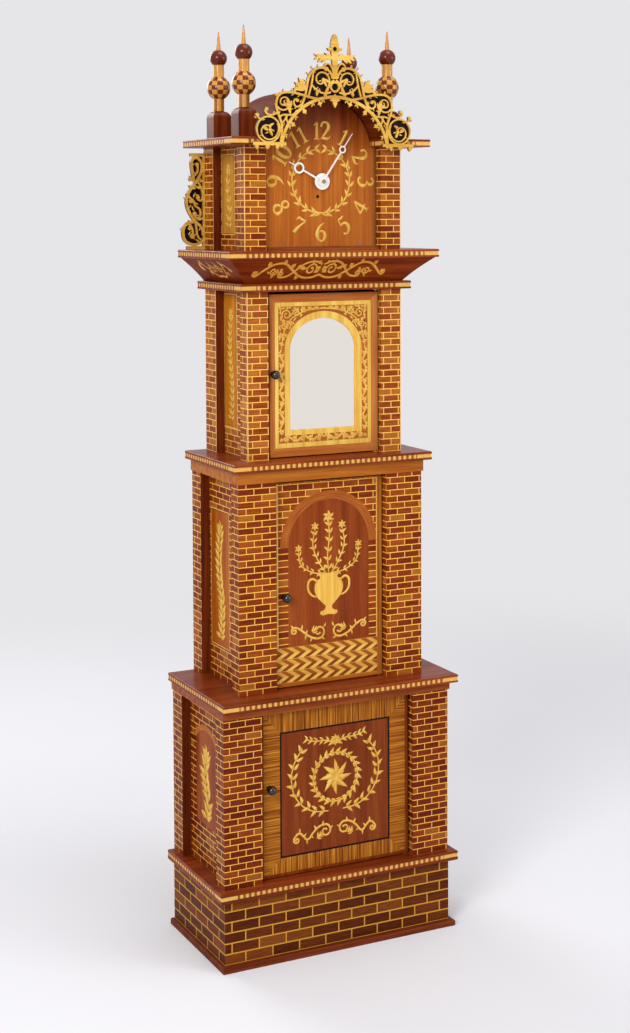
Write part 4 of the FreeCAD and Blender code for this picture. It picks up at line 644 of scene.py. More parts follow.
dress(plain_veneer("pedestal_mahogany", Z_AXIS, DARK_MAHOGANY), "finial_pedestals")
dress(plain_veneer("sill_wood", X_AXIS, ((112, 50, 16), (138, 72, 28), (168, 104, 48))), "dial_sill")
dress(plain_veneer("plain_pine", Z_AXIS, ((134, 100, 64), (160, 124, 82), (184, 148, 102)), 0.6, 0.0),
      "back_boards", "dial_battens", "seatboard")
crest_wood = fret_finish("fretsawn_crest")
fret_wood = fret_finish("fretsawn_sides")
dress(crest_wood, "crest")
dress(fret_wood, "side_frets")
dress(plain_veneer("black_stained_wood", Z_AXIS, ((18, 11, 14), (26, 16, 20), (38, 25, 28)), **MATT),
      "fret_backings")
dress(middle_door_finish(), "middle_door")
dress(zebra_frame_finish(), "lower_door_frame")
dress(plain_veneer("lower_panel_mahogany", Z_AXIS, RED_MAHOGANY, figure_width=26.0), "lower_door_panel")
dress(upper_door_finish(), "upper_door_frame")
dress(mirror_finish(), "upper_door_mirror")
dress(turned_finish("front_finials", 200.0), "front_finials")
dress(turned_finish("rear_finials", 187.0), "rear_finials")
dress(coated_finish("black_lacquer", (8, 5, 6), (22, 15, 17), 0.18, 0.3),
      "lower_knob", "middle_knob", "upper_knob")
dress(coated_finish("white_enamel", (226, 222, 214), (240, 238, 232), 0.3, 0.5), "hour_hand", "minute_hand")
dress(metal_finish("brass_plates", BRASS, 0.28), "movement_frame", "great_wheel", "third_wheel",
      "escape_wheel", "motion_wheel", "hour_wheel", "pendulum_bob", "pulley", "weight", "door_pivots")
dress(metal_finish("bright_steel", STEEL, 0.3), "centre_arbor", "anchor", "pendulum_rod")
dress(drum_finish(), "drum")
dress(dial_finish(), "dial_board")
inlay_wood = plain_veneer("inlaid_pale_wood", Z_AXIS, ((204, 150, 56), (224, 174, 76), (236, 194, 100)))
cove_inlay = plain_veneer("cove_inlay_wood", X_AXIS, ((176, 112, 34), (200, 138, 48), (218, 160, 66)))


def new_object(name, data):
    """An object in the scene that shows some data."""
    made = bpy.data.objects.new(name, data)
    bpy.context.scene.collection.objects.link(made)
    return made


def mesh_object(name, work, finish):
    """An object of one finish from a bmesh."""
    mesh = bpy.data.meshes.new(name)
    work.to_mesh(mesh)
    work.free()
    mesh.materials.append(finish.material)
    return new_object(name, mesh)


def made_piece(name, work, finish, body):
    """Turns a bmesh into a piece that rides on a body."""
    bmesh.ops.recalc_face_normals(work, faces=work.faces)
    piece = mesh_object(name, work, finish)
    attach(piece, body)
    return piece


# Inlay is drawn as strokes: each point is X, height and half width in millimetres

def veneer_section():
    """Flat section of an inlaid stroke of half width 1."""
    half = 0.12
    curve = bpy.data.curves.new("veneer_section", "CURVE")
    spline = curve.splines.new("POLY")
    spline.points.add(3)
    for point, (side, rise) in zip(spline.points, ((-1, -half), (1, -half), (1, half), (-1, half))):
        point.co = (side * MM, rise * MM, 0, 1)
    spline.use_cyclic_u = True
    return new_object("veneer_section", curve)


SECTION = veneer_section()


def curve_mesh(curve, lines, closed, steps):
    """The mesh of smooth lines on a curve, whose object is then removed."""
    for points in lines:
        spline = curve.splines.new("BEZIER")
        spline.bezier_points.add(len(points) - 1)
        for knot, (x, z, *width) in zip(spline.bezier_points, points):
            knot.co = (x * MM, z * MM, 0)
            knot.radius = width[0] if width else 1.0
            knot.handle_left_type = knot.handle_right_type = "AUTO"
        spline.use_cyclic_u = closed
        spline.resolution_u = steps
    holder = new_object(curve.name, curve)
    graph = bpy.context.evaluated_depsgraph_get()
    mesh = bpy.data.meshes.new_from_object(holder.evaluated_get(graph))
    bpy.data.objects.remove(holder)
    return mesh


def stroke_mesh(strokes, steps=5):
    curve = bpy.data.curves.new("strokes", "CURVE")
    curve.dimensions = "3D"
    curve.twist_mode = "Z_UP"
    curve.bevel_mode = "OBJECT"
    curve.bevel_object = SECTION
    curve.use_fill_caps = True
    return curve_mesh(curve, strokes, False, steps)


def shape_mesh(outline):
    """A filled flat shape with a little thickness."""
    curve = bpy.data.curves.new("shape", "CURVE")
    curve.dimensions = "2D"
    curve.fill_mode = "BOTH"
    curve.extrude = INLAY_RISE * MM
    return curve_mesh(curve, [outline], True, 8)


ON_FRONT = Matrix.Rotation(math.pi / 2, 4, "X")
ON_LEFT = Matrix.Rotation(-math.pi / 2, 4, "Z") @ ON_FRONT
ON_RIGHT = Matrix.Rotation(math.pi / 2, 4, "Z") @ ON_FRONT
SIDES = (("left", ON_LEFT, -1), ("right", ON_RIGHT, 1))


def lay_meshes(name, meshes, body, plane, turn=ON_FRONT, finish=inlay_wood):
    """Joins inlay meshes, sets them on a face and lets them ride with it."""
    work = bmesh.new()
    for mesh in meshes:
        work.from_mesh(mesh)
        bpy.data.meshes.remove(mesh)
    bmesh.ops.remove_doubles(work, verts=work.verts, dist=JOINED_WITHIN * MM)
    bmesh.ops.transform(work, matrix=Matrix.Translation(Vector(plane) * MM) @ turn, verts=work.verts)
    return made_piece(name, work, finish, body)


def lay_inlay(name, strokes, body, plane, *looks, steps=5):
    return lay_meshes(name, [stroke_mesh(strokes, steps)], body, plane, *looks)


def placed(strokes, x, z, size=1.0, turn=0.0):
    """Strokes scaled, turned clockwise by degrees, and moved."""
    cosine = math.cos(math.radians(turn))
    sine = math.sin(math.radians(turn))
    result = []
    for stroke in strokes:
        moved = []
        for across, up, *width in stroke:
            place = (x + size * (across * cosine + up * sine), z + size * (up * cosine - across * sine))
            moved.append(place + tuple(size * value for value in width))
        result.append(moved)
    return result


def flipped(strokes):
    """The mirror image of strokes, left for right."""
    return [[(-across, *rest) for across, *rest in stroke] for stroke in strokes]


def both(strokes):
    """Strokes and their mirror image."""
    return strokes + flipped(strokes)


def off(x, z, bearing, reach):
    """The point at a distance and a bearing, which runs clockwise from upright, in degrees."""
    turn = math.radians(bearing)
    return (x + reach * math.sin(turn), z + reach * math.cos(turn))


def bearing_of(start, end):
    """The bearing from one point to another."""
    return math.degrees(math.atan2(end[0] - start[0], end[1] - start[1]))


def leaf(x, z, bearing, length, width):
    """A leaf as one swelling stroke."""
    body = [[(0, 0, 0.25), (width * 0.3, length * 0.3, width), (width * 0.1, length * 0.68, width * 0.7),
             (-width * 0.4, length, 0.12)]]
    return placed(body, x, z, turn=bearing)


def curl(x, z, bearing, size, hand, width, turns=1.15):
    """Points of a stem that winds inward."""
    centre = off(x, z, bearing + 90, hand * size)
    count = max(4, round(10 * turns))
    points = []
    for step in range(1, count + 1):
        share = step / count
        place = off(*centre, bearing + hand * (360 * turns * share - 90), size * (1 - 0.74 * share))
        points.append((*place, width * (1 - 0.3 * share)))
    return points


def bud(x, z, radius):
    """A round dot as one short stroke."""
    return [[(x - radius, z, radius * 0.2), (x, z, radius), (x + radius, z, radius * 0.2)]]


def stem(points, width, first=None, last=None):
    """A stroke through points; an end may wind into a curl, given as its size and its hand."""
    line = [(x, z, width) for x, z in points]
    buds = []
    if last:
        winding = curl(*points[-1], bearing_of(points[-2], points[-1]), *last, width)
        line = line + winding
        buds += bud(*winding[-1][:2], width * 1.35)
    if first:
        winding = curl(*points[0], bearing_of(points[1], points[0]), *first, width)
        line = winding[::-1] + line
        buds += bud(*winding[-1][:2], width * 1.35)
    return [line] + buds


def acanthus(x, z, bearing, length, width):
    """A lobed leaf: a blade and two pairs of side lobes."""
    strokes = leaf(x, z, bearing, length, width)
    for share, lean, size in ((0.1, 52, 0.6), (0.36, 42, 0.5)):
        root = off(x, z, bearing, length * share)
        for side in (-1, 1):
            strokes += leaf(*root, bearing + side * lean, length * size, width * 0.72)
    return strokes


def leafy_curl(x, z, size, start, hand, width):
    """A curl about its own centre, with three leaves on its outer turn."""
    winding = curl(*off(x, z, start, size), start + hand * 90, size, hand, width, 1.4)
    strokes = [winding] + bud(*winding[-1][:2], width * 1.5)
    for sweep in (70, 150, 230):
        bearing = start + hand * sweep
        edge = off(x, z, bearing, size * 0.84)
        strokes += leaf(*edge, bearing + hand * 40, size * 0.8, width * 1.2)
    return strokes


def every(kind, rows, *width):
    """Strokes of one kind for each row of its measures, which may share a width."""
    return [stroke for row in rows for stroke in kind(*row, *width)]


def running_scroll(length, height, waves, width):
    """A waving stem along X from 0, with a curl in each hollow and leaves on each crest."""
    half = length / waves
    swing = height * 0.3
    line = []
    for step in range(waves * 4 + 1):
        x = length * step / (waves * 4)
        line.append((x, swing * math.sin(math.pi * x / half), width))
    strokes = [line]
    for index in range(waves):
        side = 1 if index % 2 == 0 else -1
        size = min(height * 0.34, half * 0.4)
        start = (index + 0.12) * half
        winding = curl(start, side * swing * 0.3, 90 + side * 108, size, -side, width * 0.85, 1.3)
        strokes += [[(start - half * 0.08, side * swing * 0.1, width * 0.85)] + winding]
        strokes += bud(*winding[-1][:2], width * 1.5)
        crest = side * swing
        middle = (index + 0.5) * half
        for x, z, bearing, share, swell in (
                (middle - half * 0.1, crest, side * 52 - 90, 0.36, 1.25),
                (middle + half * 0.1, crest, 90 - side * 40, 0.38, 1.3),
                (middle + half * 0.3, crest * 0.7, 90 - side * 8, 0.32, 1.1),
                (start + half * 0.2, -side * height * 0.14, 90 + side * 118, 0.28, 1.2),
                (middle, -side * height * 0.3, 90 + side * 62, 0.26, 1.1)):
            strokes += leaf(x, z, bearing, height * share, width * swell)
    return strokes


# Each numeral is 1 high, stands on height 0 and has X 0 in its middle

NUMERALS = {
    "0": [[(0, 1, .035), (-.2, .8, .07), (-.25, .5, .085), (-.2, .2, .07), (0, 0, .035), (.2, .2, .07),
           (.25, .5, .085), (.2, .8, .07), (0, 1, .035)]],
    "1": [[(.02, .98, .055), (.02, .5, .06), (.02, .03, .06)],
          [(-.2, .78, .012), (-.08, .86, .035), (.03, .97, .05)],
          [(-.15, .015, .018), (.02, .03, .035), (.19, .015, .018)]],
    "2": [[(-.24, .7, .05), (-.2, .9, .045), (-.02, .98, .04), (.17, .88, .065), (.2, .68, .08),
           (.04, .4, .055), (-.16, .16, .035), (-.27, .04, .02)],
          [(-.27, .05, .025), (-.08, .07, .06), (.12, .05, .06), (.25, .09, .03), (.3, .22, .01)]],
    "3": [[(-.24, .84, .04), (-.06, .98, .04), (.14, .9, .065), (.14, .7, .065), (-.04, .56, .025)],
          [(-.06, .56, .025), (.14, .5, .05), (.22, .3, .08), (.1, .07, .06), (-.08, .0, .04),
           (-.22, .06, .05), (-.25, .16, .06)]],
    "4": [[(.1, 1, .03), (-.12, .66, .03), (-.33, .3, .035)],
          [(-.33, .29, .04), (0, .29, .045), (.3, .31, .04)],
          [(.08, .98, .05), (.09, .5, .065), (.09, .02, .06)],
          [(-.06, .015, .018), (.09, .03, .035), (.24, .015, .018)]],
    "5": [[(-.15, .94, .055), (.06, .94, .06), (.24, 1.02, .02)], [(-.15, .96, .022), (-.18, .6, .03)],
          [(-.18, .57, .03), (.02, .63, .045), (.21, .5, .07), (.23, .28, .085), (.1, .06, .06),
           (-.08, .0, .04), (-.24, .09, .06)]],
    "6": [[(.2, 1.05, .012), (-.04, .88, .05), (-.22, .58, .08), (-.24, .3, .09), (-.12, .06, .06),
           (.04, .0, .045), (.2, .13, .075), (.24, .33, .085), (.15, .52, .06), (.0, .58, .035),
           (-.16, .48, .025)]],
    "7": [[(-.26, .76, .015), (-.2, .93, .05), (.02, .92, .06), (.29, .97, .03)],
          [(.28, .96, .025), (.12, .62, .05), (.0, .3, .075), (-.06, .02, .09)]],
    "8": [[(0, .54, .045), (-.17, .7, .06), (-.15, .89, .05), (.01, .98, .035), (.17, .88, .055),
           (.16, .7, .045), (0, .54, .05), (-.19, .38, .05), (-.24, .2, .08), (-.1, .02, .05),
           (.06, 0, .045), (.22, .14, .08), (.2, .37, .06), (0, .54, .045)]],
}
NUMERALS["9"] = [[(-x, 1 - z, width) for x, z, width in stroke] for stroke in NUMERALS["6"]]
NUMERAL_HEIGHT = 44.0
NUMERAL_RADIUS = 127.0
DIGIT_SPACE = 0.56
NUMERAL_BOLDNESS = 1.3


def hour_numeral(hour):
    """Strokes of one hour's figures, tops outward above the middle and inward below it."""
    word = str(hour)
    strokes = []
    for place, digit in enumerate(word):
        middle = (place - (len(word) - 1) / 2) * DIGIT_SPACE
        bold = [[(x, z, width * NUMERAL_BOLDNESS) for x, z, width in stroke] for stroke in NUMERALS[digit]]
        strokes += placed(bold, middle, -0.5)
    bearing = hour * 30.0
    inward = 180.0 if 4 <= hour <= 8 else 0.0
    return placed(strokes, *off(0, HAND_CENTRE, bearing, NUMERAL_RADIUS), NUMERAL_HEIGHT, bearing + inward)


def wreath():
    """Two leafy branches that cross at the foot and leave a gap at the top."""
    radius = 80.0
    half = [[(*off(0, 0, 188 - 176 * step / 12, radius), 2.6 - 1.4 * step / 12) for step in range(13)]]
    for step in range(10):
        bearing = 10 + 17.6 * step
        x, z = off(0, 0, 180 - bearing, radius)
        for lean in (-38, 38):
            half += leaf(x, z, 90 - bearing + lean, 18 if step % 2 else 21, 3.9)
        if step in (2, 6):
            half += stem([(x, z), (x + 2, z + 2)], 1.4, last=(4.6, 1))
    half += leaf(0, -radius, 108, 26, 2.6) + leaf(-4, -radius - 2, -66, 26, 2.6)
    return placed(both(half), 0, HAND_CENTRE + 1)


figures = every(hour_numeral, [(hour,) for hour in range(1, 13)])
lay_inlay("dial_numerals", figures, "case", (0, DIAL_FACE, 0))
lay_inlay("dial_wreath", wreath(), "case", (0, DIAL_FACE, 0))


# Scroll pairs under the pictures of the two lower doors

scroll = stem([(-92, 808), (-80, 802), (-66, 791), (-52, 781), (-34, 775)], 2.7, (9.5, -1), (18, -1))
scroll += every(leaf, ((-100, 806, -30, 12), (-78, 801, 20, 14), (-62, 788, 200, 14), (-46, 778, 215, 11),
                       (-20, 778, 130, 12), (-66, 791, 40, 11), (-15, 802, 30, 13)), 2.6)
scroll += acanthus(-50, 797, 82, 24, 3.4)
lay_inlay("middle_door_scrolls", both(scroll), "middle_door", (0, NICHE_FACE, 0))

scroll = stem([(-112, 290), (-100, 299), (-88, 290), (-77, 280), (-62, 294), (-48, 306), (-32, 311)], 2.7,
              (9, -1), (17, 1))
scroll += every(leaf, ((-100, 299, 10, 13), (-88, 290, 50, 11), (-77, 280, 185, 12), (-66, 290, 150, 11),
                       (-54, 302, -20, 13), (-36, 311, 20, 11), (-16, 300, 70, 12),
                       (-112, 288, 200, 10)), 2.6)
scroll += acanthus(-52, 280, 62, 25, 3.6)
lay_inlay("lower_door_scrolls", placed(both(scroll), -2, 0), "lower_door", (0, LOWER_PANEL_FACE, 0))


def flower(x, z, petal, petals=6):
    """A round flower of leaf-shaped petals."""
    strokes = []
    for index in range(petals):
        strokes += leaf(x, z, 360 * index / petals, petal, petal * 0.26)
    return strokes


def spray(points, leaf_length):
    """A curved stem with leaves in pairs along it."""
    strokes = [[(x, z, 1.7) for x, z in points]]
    for start, end in zip(points, points[1:]):
        for share in (0.25, 0.75):
            x, z = (low + (high - low) * share for low, high in zip(start, end))
            for lean in (42, -42):
                strokes += leaf(x, z, bearing_of(start, end) + lean, leaf_length, leaf_length * 0.2)
    return strokes


URN_OUTLINE = [(0, 0), (22, 0), (24, 6), (12, 12), (9, 20), (18, 30), (34, 48), (40, 68), (34, 86), (24, 94),
               (28, 102), (0, 104)]
URN_FOOT = 834


def urn_stems():
    """The handles of an urn and its leafy stems and flowers."""
    strokes = spray([(0, 938), (-3, 980), (2, 1030), (0, 1066)], 17)
    strokes += both(spray([(-8, 938), (-30, 972), (-44, 1010), (-40, 1046)], 15)
                    + spray([(-14, 936), (-52, 946), (-78, 966), (-84, 996)], 13))
    strokes += every(flower, ((0, 1080, 17), (-38, 1058, 12), (38, 1058, 12),
                              (-84, 1006, 11), (84, 1006, 11)))
    return strokes + both([[(30, 918, 2.6), (50, 926, 3.0), (58, 906, 3.0), (48, 886, 2.6), (34, 880, 2.0)]])


outline = [(x, URN_FOOT + z) for x, z in URN_OUTLINE + flipped([URN_OUTLINE[-2:0:-1]])[0]]
lay_meshes("niche_urn", [stroke_mesh(urn_stems()), shape_mesh(outline)], "middle_door", (0, NICHE_FACE, 0))


def garland_picture():
    """A pointed star in a ring of leaves, between two bent branches, on the lower door's panel."""
    strokes = []
    centre, ring = (0, 428.0), 62
    for index in range(16):
        strokes += leaf(*centre, 22.5 * index, *((28, 4.0) if index % 2 else (46, 6.5)))
    strokes.append([(*off(*centre, 15 * step, ring), 2.0) for step in range(25)])
    for bearing in range(0, 360, 15):
        place = off(*centre, bearing, ring)
        strokes += leaf(*place, bearing + 55, 19, 4.4) + leaf(*place, bearing + 120, 15, 3.6)
    strokes += both(spray([(-20, 344), (-64, 350), (-104, 380), (-122, 426), (-116, 474), (-92, 512)], 22))
    strokes += both(spray([(0, 512), (-26, 524), (-58, 526), (-84, 534)], 15))
    return strokes + flower(0, 522, 15, 8)


lay_inlay("panel_star", garland_picture(), "lower_door", (0, LOWER_PANEL_FACE, 0))


# Arabesque on the upper door's dark field; a strip is its place, its length and its height

SIDE_STRIP = (-116.2, 1290.0, 212.0, 15.0)
FOOT_STRIP = (-112.0, 1278.2, 112.0, 18.0)
SPANDREL_CURLS = [
    (-102, 1588, 14.5, 200, 1), (-109, 1559, 9.5, 160, -1), (-75, 1592, 10.0, 220, 1),
    (-90, 1568, 6.5, 20, 1), (-54, 1598, 7.2, 200, 1), (-116, 1536, 7.0, 170, 1),
    (-36, 1602, 5.4, 200, 1), (-19, 1603, 4.8, 200, 1), (-104, 1538, 5.0, 0, -1),
    (-119, 1605, 3.6, 90, -1), (-117, 1516, 5.4, 180, -1), (-110, 1574, 4.0, 40, 1),
]
SPANDREL_LEAVES = [
    (-118, 1572, 0, 16), (-120, 1590, 10, 15), (-118, 1604, 80, 14), (-100, 1606, 85, 14),
    (-84, 1605, 95, 12), (-62, 1606, 95, 12), (-44, 1606, 100, 10), (-28, 1606, 95, 10),
    (-8, 1604, 90, 8), (-96, 1552, 30, 12), (-84, 1574, 50, 12), (-66, 1584, 60, 10),
    (-120, 1548, 350, 12), (-110, 1546, 20, 11), (-98, 1574, 200, 10), (-122, 1524, 0, 10),
    (-112, 1524, 20, 10), (-88, 1584, 300, 10),
]


def arabesque():
    """Scrolling stems with leaves, the same on both sides."""
    x, z, length, height = SIDE_STRIP
    strokes = placed(running_scroll(length, height, 9, 2.1), x, z, turn=-90)
    x, z, length, height = FOOT_STRIP
    strokes += placed(running_scroll(length, height, 5, 2.2), x, z)
    strokes += acanthus(-114, 1280, 225, 11, 2.2)
    strokes += stem([(-117, 1502), (-113, 1530), (-107, 1550), (-97, 1570), (-82, 1583), (-62, 1593),
                     (-40, 1599), (0, 1602)], 1.7)
    for x, z, size, start, hand in SPANDREL_CURLS:
        strokes += leafy_curl(x, z, size, start, hand, 2.0 if size > 6 else 1.5)
    return both(strokes + every(leaf, SPANDREL_LEAVES, 2.5))


lay_inlay("upper_door_arabesque", arabesque(), "upper_door", (0, UPPER_DOOR_FACE, 0), steps=2)


# Scrolls on the cornice cove, drawn flat and then laid on the sloping hollow boards

COVE_FOOT_LEVEL, COVE_MIDDLE, COVE_HEAD_LEVEL = 1667.5, 1700.0, 1727.5
COVE_FRONT = (260.0, 318.0)
COVE_SIDE = (218.6, 283.0)
COVE_HOLLOW = 3.0


def lay_on_cove(piece, reach, outward):
    """Moves each point of a flat inlay out to the cove's slope."""
    foot, head = reach
    for vertex in piece.data.vertices:
        share = (vertex.co.z / MM - COVE_FOOT_LEVEL) / (COVE_HEAD_LEVEL - COVE_FOOT_LEVEL)
        bow = COVE_HOLLOW * math.sin(math.pi * share)
        out = foot + (head - foot) * share - bow
        vertex.co += Vector(outward) * (out * MM)


scroll = stem([(0, -12), (22, -20), (50, -17), (78, 0), (104, 16), (132, 15), (156, 0), (172, -13)], 2.8,
              last=(7, -1))
scroll += stem([(2, 14), (24, 21), (48, 17), (66, 2), (84, -14), (104, -18)], 2.6, last=(8, -1))
scroll += leafy_curl(28, 1, 17, 200, 1, 2.6) + leafy_curl(128, -3, 11, 340, -1, 2.3)
scroll += every(acanthus, ((58, -14, 150, 13, 3.0), (84, 6, -40, 14, 3.0), (104, 16, 20, 12, 2.8),
                           (142, 12, 40, 13, 3.0), (168, -8, 75, 14, 3.0), (8, 17, 60, 11, 2.6),
                           (50, 10, 150, 13, 2.8), (12, -8, 330, 12, 2.6), (66, 6, 300, 12, 2.8),
                           (110, 4, 200, 11, 2.6), (2, 4, 100, 10, 2.6)))
piece = lay_inlay("cornice_scrolls", placed(both(scroll), -27, COVE_MIDDLE), "case", (0, BACK, 0),
                  ON_FRONT, cove_inlay)
lay_on_cove(piece, COVE_FRONT, (0, -1, 0))
scroll = stem([(0, -16), (24, -17), (46, 0), (66, 15), (84, 8)], 2.6, last=(6, 1))
scroll += leafy_curl(20, 2, 13, 200, 1, 2.2)
scroll += every(acanthus, ((48, -4, 140, 13, 3.0), (62, 14, -30, 12, 2.8), (86, 4, 110, 11, 2.6)))
for side, turn, outward in SIDES:
    piece = lay_inlay(side + "_cove_scrolls", placed(both(scroll), 0, COVE_MIDDLE), "case", (0, 20, 0),
                      turn, cove_inlay)
    lay_on_cove(piece, COVE_SIDE, (outward, 0, 0))


# Leaf stalks on the side pictures

def stalk(foot, head, spread):
    """An upright stalk with paired leaves and a flower."""
    tall = head - foot
    count = max(3, int(tall / 42))
    points = []
    for step in range(count + 1):
        share = step / count
        points.append((spread * 0.16 * math.sin(share * 2 * math.pi), foot + tall * 0.86 * share))
    strokes = spray(points, spread * 0.52)
    strokes += flower(points[-1][0], foot + tall * 0.9, spread * 0.34)
    return strokes + every(leaf, ((0, foot, 70), (0, foot, -70)), spread * 0.5, spread * 0.1)


SIDE_PLANES = {"lower": 289.3, "middle": 229.8, "upper": 191.8, "hood": 195.8}
for stage, (rear, front, foot, head) in SIDE_PICTURES.items():
    for side, turn, outward in SIDES:
        lay_inlay(stage + "_stalk_" + side, stalk(foot + 18, head - 14, (front - rear) * 0.62), "case",
                  (outward * SIDE_PLANES[stage], BACK - (rear + front) / 2, 0), turn)


# Finer scrolls and leaves of the crest and the side frets, on their dark backing boards

CREST_LEAVES = [
    (31, 2165, 215, 13, 1.9), (33, 2163, 160, 12, 1.8), (36, 2163, 110, 10, 1.6), (52, 2182, 65, 9, 1.8),
    (22, 2176, 300, 9, 1.8), (46, 2146, 130, 9, 1.7), (26, 2132, 205, 9, 1.8), (40, 2134, 20, 10, 1.8),
    (46, 2134, 165, 8, 1.7), (58, 2146, 200, 9, 1.7), (20, 2134, 340, 9, 1.7), (104, 2112, 60, 9, 1.8),
    (94, 2106, 340, 9, 1.8), (106, 2098, 150, 8, 1.6), (96, 2126, 130, 8, 1.7), (112, 2128, 120, 8, 1.7),
    (123, 2088, 300, 10, 2.0), (124, 2098, 305, 9, 1.9), (127, 2096, 60, 9, 1.8),
    (139, 2106, 330, 9, 1.7), (152, 2118, 65, 8, 1.8), (158, 2104, 110, 7, 1.6), (150, 2086, 170, 8, 1.7),
    (176, 2041, 340, 10, 1.9), (172, 2040, 250, 9, 1.8), (180, 2036, 120, 10, 1.9),
    (182, 2044, 60, 10, 1.9), (196, 2030, 130, 8, 1.7), (164, 2022, 215, 7, 1.6),
    (196, 2062, 300, 8, 1.7), (182, 2076, 20, 9, 2.0), (166, 2078, 340, 8, 1.8), (211, 2068, 60, 7, 1.8),
    (150, 2004, 140, 9, 2.0), (150, 2004, 220, 9, 2.0), (182, 2004, 140, 9, 2.0),
    (182, 2004, 220, 9, 2.0), (212, 2004, 140, 8, 2.0), (212, 2004, 220, 9, 2.0), (60, 2190, 40, 9, 1.9),
    (70, 2176, 60, 9, 1.9), (76, 2160, 70, 8, 1.8), (46, 2194, 10, 8, 1.8), (30, 2207, 20, 8, 1.8),
    (52, 2224, 60, 6, 1.6), (138, 2132, 20, 8, 1.9), (118, 2134, 340, 8, 1.8), (156, 2122, 40, 8, 1.9),
]
CREST_LOBED_LEAVES = [(142, 2060, 190, 12, 1.7), (98, 2140, 30, 15, 2.4), (92, 2138, 350, 14, 2.4)]

FRET_LEAVES = [
    (230, 1766, 60, 18, 3.4), (246, 1772, 10, 18, 3.4), (262, 1784, -30, 16, 3.2),
    (236, 1790, 120, 16, 3.2), (228, 1806, 150, 14, 3.0), (252, 1806, 80, 14, 3.0),
    (232, 1836, 100, 16, 3.2), (246, 1846, 30, 18, 3.4), (234, 1862, 60, 18, 3.4),
    (256, 1862, 150, 14, 3.0), (248, 1880, -20, 16, 3.2), (232, 1886, 80, 16, 3.2),
    (262, 1888, 200, 14, 3.0), (238, 1906, 40, 16, 3.2), (228, 1918, 0, 14, 3.0),
    (240, 1944, 100, 14, 3.0), (234, 1960, 60, 14, 3.0), (246, 1968, 140, 12, 2.8),
    (268, 1876, 60, 11, 2.8), (272, 1800, 70, 12, 2.8), (252, 1930, 60, 12, 2.8),
]
FRET_LEAF_LENGTH, FRET_LEAF_WIDTH = 0.9, 0.65
CREST_DEPTHS = (-136.5, -131.0)
FRET_DEPTHS = (171.3, 176.8)


def crest_details():
    """The right half of the crest's finer work: single and lobed leaves, and pairs under the arch."""
    half_width, spring, rise = 142, 1989, 130
    strokes = every(leaf, CREST_LEAVES) + every(acanthus, CREST_LOBED_LEAVES)
    for degrees in (17, 28, 40, 52, 64, 76):
        turn = math.radians(degrees)
        x, z = half_width * math.cos(turn), spring + rise * math.sin(turn)
        inward = math.degrees(math.atan2(-math.cos(turn), -math.sin(turn)))
        strokes += leaf(x, z, inward - 34, 9, 2.0) + leaf(x, z, inward + 34, 9, 2.0)
    return strokes


def fretwork(name, strokes, front_face, back_face, finish):
    """Strokes as flat plates between two depths."""
    mesh = stroke_mesh(strokes)
    thickness = (back_face - front_face) * MM
    for vertex in mesh.vertices:
        vertex.co.z = math.copysign(thickness / 2, vertex.co.z)
    lay_meshes(name, [mesh], "case", (0, (front_face + back_face) / 2, 0), finish=finish)


fretwork("crest_leaves", both(crest_details()), *CREST_DEPTHS, crest_wood)
fret_leaves = [(x, z, bearing, length * FRET_LEAF_LENGTH, width * FRET_LEAF_WIDTH)
               for x, z, bearing, length, width in FRET_LEAVES]
fretwork("fret_leaves", both(every(leaf, fret_leaves)), *FRET_DEPTHS, fret_wood)
bpy.data.objects.remove(SECTION)


NUT_RADIUS, NUT_THICKNESS, NUT_ROUNDING = 5.4, 1.4, 0.5


def cone(work, x, y, z, rear_radius, front_radius, depth, segments):
    """A capped cone that points forward, all in millimetres."""
    return bmesh.ops.create_cone(work, cap_ends=True, segments=segments, radius1=rear_radius * MM,
                                 radius2=front_radius * MM, depth=depth * MM,
                                 matrix=Matrix.Translation(Vector((x, y, z)) * MM) @ ON_FRONT)


def hand_nut():
    """Domed brass nut on the hub of the hands."""
    hand_face = extent("minute_hand")[0].y
    work = bmesh.new()
    cone(work, 0, hand_face - 0.5, HAND_CENTRE, NUT_RADIUS, NUT_RADIUS, NUT_THICKNESS, 32)
    rim = [edge for edge in work.edges if all(vertex.co.y / MM < hand_face - 1 for vertex in edge.verts)]
    bmesh.ops.bevel(work, geom=rim, offset=NUT_ROUNDING * MM, segments=2, affect="EDGES")
    made_piece("hand_nut", work, metal_finish("dull_brass", (150, 128, 90), 0.4), "minute_train")


SCREW_X, SCREW_LEVEL = 108.0, 1766.0
SCREW_REAR_RADIUS, SCREW_FRONT_RADIUS, SCREW_THICKNESS = 3.4, 3.0, 0.9


def dial_screws():
    """Two screws low on the dial board."""
    work = bmesh.new()
    for x in (-SCREW_X, SCREW_X):
        made = cone(work, x, DIAL_FACE, SCREW_LEVEL, SCREW_REAR_RADIUS, SCREW_FRONT_RADIUS,
                    SCREW_THICKNESS, 24)
        front = min(made["verts"][0].link_faces, key=lambda face: face.calc_center_median().y)
        faces = [face for face in front.verts[0].link_faces if len(face.verts) > 4]
        bmesh.ops.inset_region(work, faces=faces, thickness=0.7 * MM, depth=-0.2 * MM)
    made_piece("dial_screws", work, metal_finish("dull_steel", (120, 112, 104), 0.4), "case")


LINE_FACETS, TURN_STEPS = 12, 24


